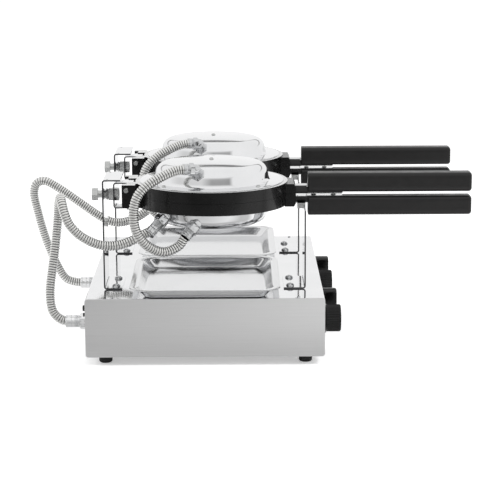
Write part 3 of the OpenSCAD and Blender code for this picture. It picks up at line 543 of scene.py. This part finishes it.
# seats and directions in a cover's own frame: millimetres from the axis, +Z away from the parting plane
gland = {
    "supply": ((-47.2, 51.4, 20.4), (-0.501, 0.612, 0.612)),
    "link": ((-69.4, 9.6, 26.9), (-0.450, 0.601, 0.661)),
    "elbow": ((-67.5, 7.8, 36.0), (-0.796, 0.0995, 0.597)),
    "elbowOut": (-0.368, 0.925, 0.090),     # direction after the bend
    "corner": 9.8, "seatCorner": 8.8, "outletCorner": 9.0,      # radii of the nuts' corners
    "ferrule": 7.7,
    "supplyLength": 37, "linkLength": 27, "elbowLength": 17, "outletLength": 19,
    "elbowRadius": 7.0,
    # (start, length) along the fitting
    "seatNut": (-1.5, 6.5), "mainNut": (5.6, 10.5), "elbowNut": (-1.5, 7.5), "outletNut": (4.2, 7.0),
    "ferruleFrom": 16, "outletFrom": 11,
}
ferruleForm = {
    "neck": 0.6,                                # the plain sleeve's radius is less by this
    "thread": 0.35, "pitch": 1.4, "threaded": 0.4,      # the last is a share of the length
    "bead": 0.45, "beadWidth": 0.7,
    "beadAt": 0.62, "lastBead": 1.2,            # a share of the length, and a distance from the end
}


def hexed(corner):
    # cuts a round section back to a hexagon with this corner radius
    def cut(angle, radius, height):
        toFlat = np.mod(angle, np.pi / 3) - np.pi / 6
        return np.minimum(radius, corner * mm * math.cos(math.pi / 6) / np.cos(toFlat))
    return cut


def nut(spot, aim, start, length, corner):
    # a hexagon with both ends chamfered
    c = corner
    section = [(0, start), (c - 1.6, start), (c - 0.1, start + 0.9), (c, start + length / 2),
               (c - 0.1, start + length - 0.9), (c - 1.6, start + length), (0, start + length)]
    return loft("nut", revolved(np.array(section) * mm, spot, aim, 72, hexed(corner)), 24, capped=False)


def ferrule(spot, aim, start, length, radius):
    # turned sleeve: a sine for the thread at its root, and two round beads, the second near its end
    f = ferruleForm
    h = np.linspace(0, length, 60)
    thread = f["thread"] * np.sin(2 * np.pi * h / f["pitch"]) * (h < length * f["threaded"])
    places = (length * f["beadAt"], length - f["lastBead"])
    beads = sum(f["bead"] * np.exp(-((h - at) / f["beadWidth"]) ** 2) for at in places)
    r = radius - f["neck"] + thread + beads
    section = [(0, start)] + list(zip(r, h + start)) + [(0, start + length)]
    return loft("ferrule", revolved(np.array(section) * mm, spot, aim, 40), 50, capped=False)


def onHead(side, place, up):
    # a place in a cover's own frame, in the object's frame
    x, y, z = np.array(place) * mm
    return np.array([headX[side] + x, baseCentre[1] + y, axisHeight + up * z])


def elbow(spot, corner, aim, out):
    # a round tube from the spot along the aim, bent at the corner and on along out
    points = [spot, spot + 8 * mm * aim, corner - 2.6 * mm * aim + 1.2 * mm * out,
              corner + 1.5 * mm * out, corner + 6 * mm * out]
    path = smoothRoute(points, 0.7 * mm)[0]
    heading = unitRows(np.gradient(path, axis=0))
    first = unitRows(np.cross(heading, np.cross(aim, out)))
    second = np.cross(heading, first)
    angle = np.linspace(0, 2 * np.pi, 40, endpoint=False)[None, :, None]
    around = np.cos(angle) * first[:, None] + np.sin(angle) * second[:, None]
    return loft("elbow", path[:, None] + gland["elbowRadius"] * mm * around, 50)


for side in sides:
    parts = []
    for kind in ("supply", "link"):
        place, aim = gland[kind]
        spot, aim = onHead(side, place, -1), np.array(aim) * (1, 1, -1)
        ferruleLength = gland[kind + "Length"] - gland["ferruleFrom"]
        parts += [nut(spot, aim, *gland["seatNut"], gland["seatCorner"]),
                  nut(spot, aim, *gland["mainNut"], gland["corner"]),
                  ferrule(spot, aim, gland["ferruleFrom"], ferruleLength, gland["ferrule"])]
    dress(joined(side + "_lower_glands.fittings", parts), side + "_lower_glands")
    place, aim = gland["elbow"]
    spot, aim, out = onHead(side, place, 1), np.array(aim), unitRows(np.array(gland["elbowOut"]))
    corner = spot + gland["elbowLength"] * mm * aim
    outlet = gland["outletLength"] - gland["outletFrom"]
    parts = [nut(spot, aim, *gland["elbowNut"], gland["corner"]), elbow(spot, corner, aim, out),
             nut(corner, out, *gland["outletNut"], gland["outletCorner"]),
             ferrule(corner, out, gland["outletFrom"], outlet, gland["ferrule"])]
    dress(joined(side + "_upper_gland.fitting", parts), side + "_upper_gland")

# washer and nuts outside and inside the back wall, and the sleeve that takes the conduit
rearGland = {
    "washer": 10.6, "nutFrom": 1.8, "nut": 8.0, "corner": 11.5, "sleeve": 9.0, "length": 29,
    "lockCorner": 10.4,
}
g = rearGland
parts = []
for side in sides:
    spot = np.array(routes[side + "_supply"][0]) * mm + baseCentre
    spot[1] = baseHigh.y
    aim = np.array([0.0, 1.0, 0.0])
    w, sleeveFrom = g["washer"], g["nutFrom"] + g["nut"] - 0.2
    washer = [(0, 0), (w - 0.2, 0), (w, 0.6), (w, 1.4), (w - 0.6, 2.0), (0, 2.0)]
    locknut = [(0, -6), (8.6, -6), (9.2, -5.4), (9.2, -2.2), (0, -2.2)]
    locknutRings = revolved(np.array(locknut) * mm, spot, aim, 72, hexed(g["lockCorner"]))
    parts += [
        loft("washer", revolved(np.array(washer) * mm, spot, aim, 40), 40, capped=False),
        nut(spot, aim, g["nutFrom"], g["nut"], g["corner"]),
        ferrule(spot, aim, sleeveFrom, g["length"] - sleeveFrom, g["sleeve"]),
        loft("locknut", locknutRings, 24, capped=False),
    ]
dress(joined("rear_glands.fittings", parts), "rear_glands")

footScrew = {
    "radius": 5.4, "side": 0.5, "dome": 2.952, "domeTo": 62,    # the last in degrees from the side
    "across": 23.5, "inset": 9,         # from the head's axis, and from the foot's inner end
    "footThick": 2,
}


def domeHead(spot):
    # a dome on a short straight side, out by a cosine and up by a sine, with a shallow socket
    f = footScrew
    turn = np.radians(np.linspace(0, f["domeTo"], 9))
    r = f["radius"]
    dome = list(zip(r * np.cos(turn), f["side"] + f["dome"] * np.sin(turn) / math.sin(turn[-1])))
    top = dome[-1][1]
    section = [(0, 0), (r, 0)] + dome + [(1.7, top), (1.5, top - 1.2), (0, top - 1.2)]
    return loft("head", revolved(np.array(section) * mm, spot, (0, 0, 1), 36), 30, capped=False)


inset = footScrew["inset"] * mm
rows = (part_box("front_uprights")[1].y - inset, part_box("rear_uprights")[0].y + inset)
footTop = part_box("front_uprights")[0].z + footScrew["footThick"] * mm
heads = []
for side in sides:
    for across in (-1, 1):
        x = headX[side] + across * footScrew["across"] * mm
        heads += [domeHead((x, y, footTop)) for y in rows]
carry(joined("base_screws.heads", heads), "base_screws")

# nuts and flanged collars at the heads' turning bolts
pivot = {"collar": 4.6, "flange": 6.6, "flangeThick": 1.6, "nut": 7.8, "nutLength": 3.2}
low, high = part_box("pivot_bushes")
parts = []
for side in sides:
    spot, aim = (headX[side], low.y, axisHeight), (0.0, 1.0, 0.0)
    reach = (high.y - low.y) / mm
    r, flange, start = pivot["collar"], pivot["flange"], pivot["nutLength"]
    step = reach - pivot["flangeThick"]
    section = [(0, start), (r, start), (r, step), (flange, step + 0.2), (flange, reach), (0, reach)]
    parts += [nut(spot, aim, 0, pivot["nutLength"], pivot["nut"]),
              loft("collar", revolved(np.array(section) * mm, spot, aim, 40), 40, capped=False)]
dress(joined("pivot_bushes.collars", parts), "pivot_bushes")
print("glands made")

floorReach = 30.0
floorCorners = np.array([(-1, -1, 0), (1, -1, 0), (1, 1, 0), (-1, 1, 0)]) * floorReach
floor = addMesh("floor", floorCorners, [(0, 1, 2, 3)])


def hexColour(text):
    # sRGB hex to linear red, green, blue, alpha
    values = [int(text[i:i + 2], 16) / 255 for i in (1, 3, 5)]
    return [v / 12.92 if v <= 0.04045 else ((v + 0.055) / 1.055) ** 2.4 for v in values] + [1.0]


def addNode(tree, kind, settings=None, links=None):
    # settings: attribute or input name to value; links: input name or index to an output socket
    node = tree.nodes.new(kind)
    for key, value in (settings or {}).items():
        if hasattr(node, key):
            setattr(node, key, value)
        else:
            node.inputs[key].default_value = value
    for key, socket in (links or {}).items():
        tree.links.new(socket, node.inputs[key])
    return node


def startMaterial(name, settings):
    material = bpy.data.materials.new(name)
    material.use_nodes = True
    tree = material.node_tree
    shader = tree.nodes["Principled BSDF"]
    for key, value in settings.items():
        shader.inputs[key].default_value = value
    place = addNode(tree, "ShaderNodeTexCoord").outputs["Object"]
    return material, tree, shader, place


def noiseAt(tree, place, size, stretch=(1, 1, 1), detail=3):
    # noise whose grains are about size metres across, drawn out along the axes with a small stretch
    mapping = addNode(tree, "ShaderNodeMapping", {"Scale": stretch}, {"Vector": place})
    return addNode(
        tree, "ShaderNodeTexNoise", {"Scale": 1 / size, "Detail": detail, "Roughness": 0.55},
        {"Vector": mapping.outputs["Vector"]},
    ).outputs["Fac"]


def ramp(tree, value, low, high, start=0.3, stop=0.7):
    # low where the value is at or before start, high at or past stop, and in proportion between
    limits = {"From Min": start, "From Max": stop, "To Min": low, "To Max": high}
    return addNode(tree, "ShaderNodeMapRange", limits, {"Value": value}).outputs["Result"]


def mixColour(tree, value, first, second):
    # first and second are hex colours or output sockets
    node = addNode(tree, "ShaderNodeMix", {"data_type": "RGBA"}, {0: value})
    for index, colour in ((6, first), (7, second)):
        if isinstance(colour, str):
            node.inputs[index].default_value = hexColour(colour)
        else:
            tree.links.new(colour, node.inputs[index])
    return node.outputs[2]


def facing(tree, axis, start, stop):
    # 1 where the object's own surface faces along the axis (0, 1 or 2), either way, and 0 elsewhere
    normal = addNode(tree, "ShaderNodeTexCoord").outputs["Normal"]
    part = addNode(tree, "ShaderNodeSeparateXYZ", None, {0: normal}).outputs[axis]
    size = addNode(tree, "ShaderNodeMath", {"operation": "ABSOLUTE"}, {0: part}).outputs[0]
    return ramp(tree, size, 0.0, 1.0, start, stop)


def combined(tree, operation, values):
    result = values[0]
    for value in values[1:]:
        result = addNode(tree, "ShaderNodeMath", {"operation": operation}, {0: result, 1: value}).outputs[0]
    return result


def times(tree, *values):
    return combined(tree, "MULTIPLY", values)


def plus(tree, *values):
    return combined(tree, "ADD", values)


def greatest(tree, *values):
    return combined(tree, "MAXIMUM", values)


def bumpFrom(tree, shader, height, strength, distance):
    bump = addNode(tree, "ShaderNodeBump", {"Strength": strength, "Distance": distance}, {"Height": height})
    tree.links.new(bump.outputs["Normal"], shader.inputs["Normal"])


def polishedSteel(name="polishedStainless", cutEdges=False):
    # bright polished stainless sheet: a clear mirror with a very slight ripple from pressing;
    # where the sheet was cut, its edge is dull and dark
    material, tree, shader, place = startMaterial(name, {"Metallic": 1.0})
    smear = noiseAt(tree, place, 0.035)
    colour = mixColour(tree, smear, "#DEDFE0", "#EDEDEE")
    rough = ramp(tree, smear, 0.04, 0.09)
    if cutEdges:
        edge = facing(tree, 0, 0.85, 0.95)
        colour = mixColour(tree, edge, colour, "#4A4A4C")
        rough = greatest(tree, rough, ramp(tree, edge, 0.0, 0.45, 0, 1))
    tree.links.new(colour, shader.inputs["Base Color"])
    tree.links.new(rough, shader.inputs["Roughness"])
    bumpFrom(tree, shader, noiseAt(tree, place, 0.05, detail=1), 0.25, 0.0004)
    return material


def satinSteel():
    # number 4 finish: fine lines from the belt, all along the sheet, which blur what it mirrors
    material, tree, shader, place = startMaterial("satinStainless", {"Metallic": 1.0})
    lines = noiseAt(tree, place, 0.0008, stretch=(1, 0.012, 1), detail=4)
    tree.links.new(mixColour(tree, lines, "#DADADA", "#E6E6E6"), shader.inputs["Base Color"])
    tree.links.new(ramp(tree, lines, 0.30, 0.42), shader.inputs["Roughness"])
    bumpFrom(tree, shader, lines, 0.12, 0.0002)
    return material


def platedSteel():
    # bright zinc plating on turned and stamped steel: greyer than the sheet, with soft glints
    material, tree, shader, place = startMaterial("zincPlatedSteel", {"Metallic": 1.0})
    cloud = noiseAt(tree, place, 0.004)
    tree.links.new(mixColour(tree, cloud, "#A9AAAA", "#CFD0CE"), shader.inputs["Base Color"])
    tree.links.new(ramp(tree, cloud, 0.16, 0.30), shader.inputs["Roughness"])
    bumpFrom(tree, shader, noiseAt(tree, place, 0.0012), 0.15, 0.0002)
    return material


def conduitSteel():
    # galvanised strip wound into a hose: soft bright crowns, and painted shade in the grooves between them
    material, tree, shader, place = startMaterial("woundGalvanisedStrip", {"Metallic": 1.0})
    cloud = noiseAt(tree, place, 0.02)
    groove = addNode(tree, "ShaderNodeAttribute", {"attribute_name": "mark"}).outputs["Fac"]
    # painted shade: the deeper the groove, the darker its colour
    grooveShade = ramp(tree, groove, 0.0, 1.0, 0.25, 0.9)
    crown = mixColour(tree, cloud, "#DADAD8", "#ECECEA")
    tree.links.new(mixColour(tree, grooveShade, crown, "#6E6E6D"), shader.inputs["Base Color"])
    tree.links.new(ramp(tree, cloud, 0.20, 0.28), shader.inputs["Roughness"])
    return material


def fittingSteel(name, first, second):
    # turned and nickel-plated brass fittings: a hard mirror between two greys
    material, tree, shader, place = startMaterial(name, {"Metallic": 1.0})
    cloud = noiseAt(tree, place, 0.005)
    tree.links.new(mixColour(tree, cloud, first, second), shader.inputs["Base Color"])
    tree.links.new(ramp(tree, cloud, 0.05, 0.10), shader.inputs["Roughness"])
    return material


def pressedTray():
    # deep-drawn stainless tray, bright annealed: it blurs what it mirrors more than polished sheet does
    material, tree, shader, place = startMaterial("brightAnnealedTray", {"Metallic": 1.0})
    smear = noiseAt(tree, place, 0.03)
    tree.links.new(mixColour(tree, smear, "#D6D7D8", "#E4E4E5"), shader.inputs["Base Color"])
    tree.links.new(ramp(tree, smear, 0.09, 0.15), shader.inputs["Roughness"])
    return material


# heights of the outer faces of the lower and upper pans, where the casting's finish paints a sheen
sheenFaceHeights = (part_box("left_lower_cover")[1].z - 4 * mm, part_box("left_upper_pan")[1].z)


def coatedCasting():
    # black non-stick coating baked on cast aluminium: near black and smooth, clear only at a low angle;
    # the outer faces, against which the covers seat, are painted as bright metal: a painted sheen for the coat's
    # shine at a low angle
    settings = {"IOR": 1.33, "Coat Weight": 0.35, "Coat Roughness": 0.06, "Coat IOR": 1.33}
    material, tree, shader, place = startMaterial("nonStickOnCastAluminium", settings)
    patches = noiseAt(tree, place, 0.02)
    height = addNode(tree, "ShaderNodeSeparateXYZ", None, {0: place}).outputs[2]
    lower, upper = sheenFaceHeights
    edge = 0.4 * mm
    outer = plus(tree, ramp(tree, height, 0.0, 1.0, upper - edge, upper),
                 ramp(tree, height, 1.0, 0.0, lower, lower + edge))
    # painted sheen: these flat outer faces are drawn as bright metal in place of the coat's shine
    paintedSheen = times(tree, outer, facing(tree, 2, 0.86, 0.95))
    coat = mixColour(tree, patches, "#050505", "#0B0B0B")
    tree.links.new(mixColour(tree, paintedSheen, coat, "#DCDCDC"), shader.inputs["Base Color"])
    tree.links.new(paintedSheen, shader.inputs["Metallic"])
    tree.links.new(ramp(tree, patches, 0.22, 0.32), shader.inputs["Roughness"])
    bumpFrom(tree, shader, noiseAt(tree, place, 0.0009, detail=4), 0.12, 0.0002)
    return material


def blackedBar():
    # black-coated bar whose flat faces are painted as bright metal: a painted sheen for the coat's shine at a low
    # angle
    material, tree, shader, place = startMaterial("coatedBarBrightFlats", {"IOR": 1.4})
    patches = noiseAt(tree, place, 0.012)
    # painted sheen: faces that look up or down are drawn as bright metal
    flatSheen = facing(tree, 2, 0.84, 0.9)
    coat = mixColour(tree, patches, "#080808", "#101010")
    metal = mixColour(tree, patches, "#D4D5D6", "#E6E6E6")
    tree.links.new(mixColour(tree, flatSheen, coat, metal), shader.inputs["Base Color"])
    tree.links.new(flatSheen, shader.inputs["Metallic"])
    tree.links.new(ramp(tree, flatSheen, 0.28, 0.08, 0, 1), shader.inputs["Roughness"])
    return material


def phenolic():
    # compression-moulded phenolic: black with a brown trace, silky, with faint mould pores
    material, tree, shader, place = startMaterial("mouldedPhenolic", {"IOR": 1.40})
    cloud = noiseAt(tree, place, 0.012)
    tree.links.new(mixColour(tree, cloud, "#131313", "#1C1B1B"), shader.inputs["Base Color"])
    tree.links.new(ramp(tree, cloud, 0.30, 0.40), shader.inputs["Roughness"])
    bumpFrom(tree, shader, noiseAt(tree, place, 0.0007), 0.12, 0.0002)
    return material


def knobPlastic():
    # injection-moulded ABS, gloss black
    material, tree, shader, place = startMaterial("glossBlackAbs", {"IOR": 1.38})
    cloud = noiseAt(tree, place, 0.006)
    tree.links.new(mixColour(tree, cloud, "#060606", "#0C0C0C"), shader.inputs["Base Color"])
    tree.links.new(ramp(tree, cloud, 0.10, 0.16), shader.inputs["Roughness"])
    return material


def blackRubber():
    # moulded nitrile rubber: dull black with a dusty bloom
    material, tree, shader, place = startMaterial("mouldedRubber", {"Metallic": 0.0, "IOR": 1.52})
    dust = noiseAt(tree, place, 0.003)
    tree.links.new(mixColour(tree, dust, "#131313", "#202020"), shader.inputs["Base Color"])
    tree.links.new(ramp(tree, dust, 0.62, 0.78), shader.inputs["Roughness"])
    bumpFrom(tree, shader, noiseAt(tree, place, 0.0006), 0.3, 0.0002)
    return material


def plainMaterial(name, first, second, rough, size):
    # dull moulded, fired or painted parts
    material, tree, shader, place = startMaterial(name, {"Metallic": 0.0})
    cloud = noiseAt(tree, place, size)
    tree.links.new(mixColour(tree, cloud, first, second), shader.inputs["Base Color"])
    tree.links.new(ramp(tree, cloud, rough, rough + 0.1), shader.inputs["Roughness"])
    return material


def elementSheath():
    # steel tube oxidised by heat: dark straw and grey bands
    material, tree, shader, place = startMaterial("oxidisedSheath", {"Metallic": 1.0})
    bands = noiseAt(tree, place, 0.015)
    tree.links.new(mixColour(tree, bands, "#5A5450", "#807A74"), shader.inputs["Base Color"])
    tree.links.new(ramp(tree, bands, 0.38, 0.52), shader.inputs["Roughness"])
    return material


finishes = {
    "polished_steel": polishedSteel(),
    "satin_steel": satinSteel(),
    "plated_steel": platedSteel(),
    "conduit_steel": conduitSteel(),
    "coated_casting": coatedCasting(),
    "handle_plastic": phenolic(),
    "knob_plastic": knobPlastic(),
    "rubber": blackRubber(),
    "ceramic": plainMaterial("glazedSteatite", "#E2DDCB", "#EFEBDD", 0.25, 0.008),
    "switch_case": plainMaterial("greyNylon", "#4A4B4D", "#58595B", 0.5, 0.005),
    "element_sheath": elementSheath(),
    "lamp_lens": plainMaterial("redLampLens", "#C02A16", "#D43A22", 0.12, 0.004),
    "pointer": plainMaterial("whitePaintFill", "#E4E4E0", "#F2F2EE", 0.4, 0.002),
}
cutSheet = polishedSteel("cutPolishedSheet", cutEdges=True)
nickelPlated = fittingSteel("nickelPlatedFitting", "#BEBFC0", "#D9DADB")
# pieces whose surface differs from the rest of their slot; the first name that fits is the one taken
special = {
    "rear_uprights": cutSheet, "front_uprights": cutSheet, "_yoke.": cutSheet, "_arm.": blackedBar(),
    "_tray.": pressedTray(), "pivot_bushes": finishes["plated_steel"],
    "rear_glands": fittingSteel("brightNickelFitting", "#E4E5E6", "#F2F2F2"),
    "gland": nickelPlated, "base_screws": nickelPlated,
}
for name, node in nodes.items():
    node.data.materials.clear()
    node.data.materials.append(finishes[nodeSlot[name]])
for slot, pieces in dressed.items():
    for piece in pieces:
        finish = next((own for part, own in special.items() if part in piece.name), finishes[slot])
        piece.data.materials.clear()
        piece.data.materials.append(finish)
print("finishes assigned")


# dark values go from 0, as it was, to 1, black; a pair says where a change starts and where it ends:
# metres from the object on the floor, and parts of a unit direction in the world
studio = {
    "ambient": 0.72,
    "paperGlow": (0.12, 0.34),      # to light the object, and to the camera
    "sweepEnd": (-1.25, -0.95), "sweepDark": 0.85,
    "backHalf": (-0.35, 0.35),      # along Y
    "floorEdge": (-0.5, -0.2), "floorDark": 0.58,       # the near side of the sweep is dimmer at the back
    "matFar": (-0.70, -0.62), "matDark": 0.08,          # a grey mat before the object,
    "matNear": (-0.40, -0.30), "footDark": 0.45,        # darker close to its foot,
    "matEnd": (-0.2, -0.1),                             # which ends under it
    "nearSide": (-0.35, 0.05), "nearTop": (0.1, 0.5), "nearDark": 0.34,
    "farSide": (0.5, 0.8),
    "bandLow": 17.5, "bandHigh": 20,                    # the top edge of the sweep behind, degrees up
    "bandEdge": 0.01, "bandDark": 0.8,
    "screenLeft": (-0.68, -0.58), "screenRight": (0.0, 0.5),        # a grey screen beside the camera
    "screenFoot": (0.12, 0.18), "screenTop": (0.26, 0.60), "screenDark": 0.62,
}


def floorFinish():
    # matt white paper sweep, which the camera sees a little brighter than it lights the object;
    # what polished steel mirrors is darker where the paper ends, towards the back and on the mat
    material, tree, shader, place = startMaterial("paperSweep", {"Roughness": 0.9})
    fibres = noiseAt(tree, place, 0.004)
    tree.links.new(mixColour(tree, fibres, "#FAFAFA", "#FFFFFF"), shader.inputs["Base Color"])
    rays = addNode(tree, "ShaderNodeLightPath").outputs
    strength = ramp(tree, rays["Is Camera Ray"], *studio["paperGlow"], 0, 1)
    glow = addNode(tree, "ShaderNodeEmission", None, {"Strength": strength})
    total = addNode(tree, "ShaderNodeAddShader", None, {0: shader.outputs[0], 1: glow.outputs[0]})
    x, y = addNode(tree, "ShaderNodeSeparateXYZ", None, {0: place}).outputs[:2]
    end = ramp(tree, x, studio["sweepDark"], 0.0, *studio["sweepEnd"])
    shade = times(
        tree, ramp(tree, x, studio["floorDark"], 0.0, *studio["floorEdge"]),
        ramp(tree, y, 0.0, 1.0, *studio["backHalf"]),
    )
    mat = times(
        tree, ramp(tree, x, studio["matDark"], studio["footDark"], *studio["matNear"]),
        ramp(tree, x, 0.0, 1.0, *studio["matFar"]), ramp(tree, x, 1.0, 0.0, *studio["matEnd"]),
    )
    darker = greatest(tree, end, plus(tree, shade, mat))
    nothing = addNode(tree, "ShaderNodeEmission", {"Strength": 0.0})
    mixed = addNode(tree, "ShaderNodeMixShader", None, {
        0: times(tree, darker, rays["Is Glossy Ray"]), 1: total.outputs[0], 2: nothing.outputs[0],
    })
    tree.links.new(mixed.outputs[0], tree.nodes["Material Output"].inputs["Surface"])
    return material


floor.data.materials.append(floorFinish())


def buildWorld():
    # white all round; polished steel also mirrors the dark edge of the sweep behind, a dimmer near side
    # and the screen
    world = bpy.data.worlds.new("studio")
    bpy.context.scene.world = world
    world.use_nodes = True
    tree = world.node_tree
    rays = addNode(tree, "ShaderNodeLightPath").outputs
    direction = addNode(tree, "ShaderNodeTexCoord").outputs["Generated"]
    x, y, z = addNode(tree, "ShaderNodeSeparateXYZ", None, {0: direction}).outputs
    low, high = [math.sin(math.radians(studio[key])) for key in ("bandLow", "bandHigh")]
    edge = studio["bandEdge"]
    nearSide = ramp(tree, x, 1.0, 0.0, *studio["nearSide"])
    band = times(
        tree, ramp(tree, x, 0.0, 1.0, *studio["farSide"]),
        ramp(tree, z, 0.0, studio["bandDark"], low - edge, low + edge),
        ramp(tree, z, 1.0, 0.0, high - edge, high + edge),
    )
    shade = times(
        tree, nearSide, ramp(tree, z, 1.0, 0.0, *studio["nearTop"]),
        ramp(tree, y, 0.0, studio["nearDark"], *studio["backHalf"]),
    )
    screen = times(
        tree, nearSide, ramp(tree, y, 0.0, studio["screenDark"], *studio["screenLeft"]),
        ramp(tree, y, 1.0, 0.0, *studio["screenRight"]),
        ramp(tree, z, 0.0, 1.0, *studio["screenFoot"]), ramp(tree, z, 1.0, 0.0, *studio["screenTop"]),
    )
    darker = greatest(tree, band, shade, screen)
    seen = greatest(tree, rays["Is Camera Ray"], rays["Is Glossy Ray"], rays["Is Transmission Ray"])
    level = ramp(tree, seen, studio["ambient"], 1.0, 0, 1)
    left = ramp(tree, times(tree, darker, rays["Is Glossy Ray"]), 1.0, 0.0, 0, 1)
    background = tree.nodes["Background"]
    background.inputs["Color"].default_value = (1, 1, 1, 1)
    tree.links.new(times(tree, level, left), background.inputs["Strength"])


lampAim = (0, 0, 0.15)
lamps = {
    "keyBox": {"spot": (-1.2, -1.4, 2.2), "size": (1.4, 1.0), "power": 34.0},
    "fillBox": {"spot": (-0.6, 2.0, 1.6), "size": (1.2, 1.0), "power": 14.0},
}


def addLamp(name, spot, size, power):
    data = bpy.data.lights.new(name, "AREA")
    data.shape = "RECTANGLE"
    data.size, data.size_y = size
    data.energy = power
    lamp = bpy.data.objects.new(name, data)
    lamp.location = spot
    lamp.visible_glossy = False
    lamp.rotation_euler = (Vector(lampAim) - Vector(spot)).to_track_quat("-Z", "Y").to_euler()
    bpy.context.scene.collection.objects.link(lamp)


buildWorld()
for name, lamp in lamps.items():
    addLamp(name, **lamp)
bpy.context.scene.view_settings.view_transform = "Standard"
print("light set")
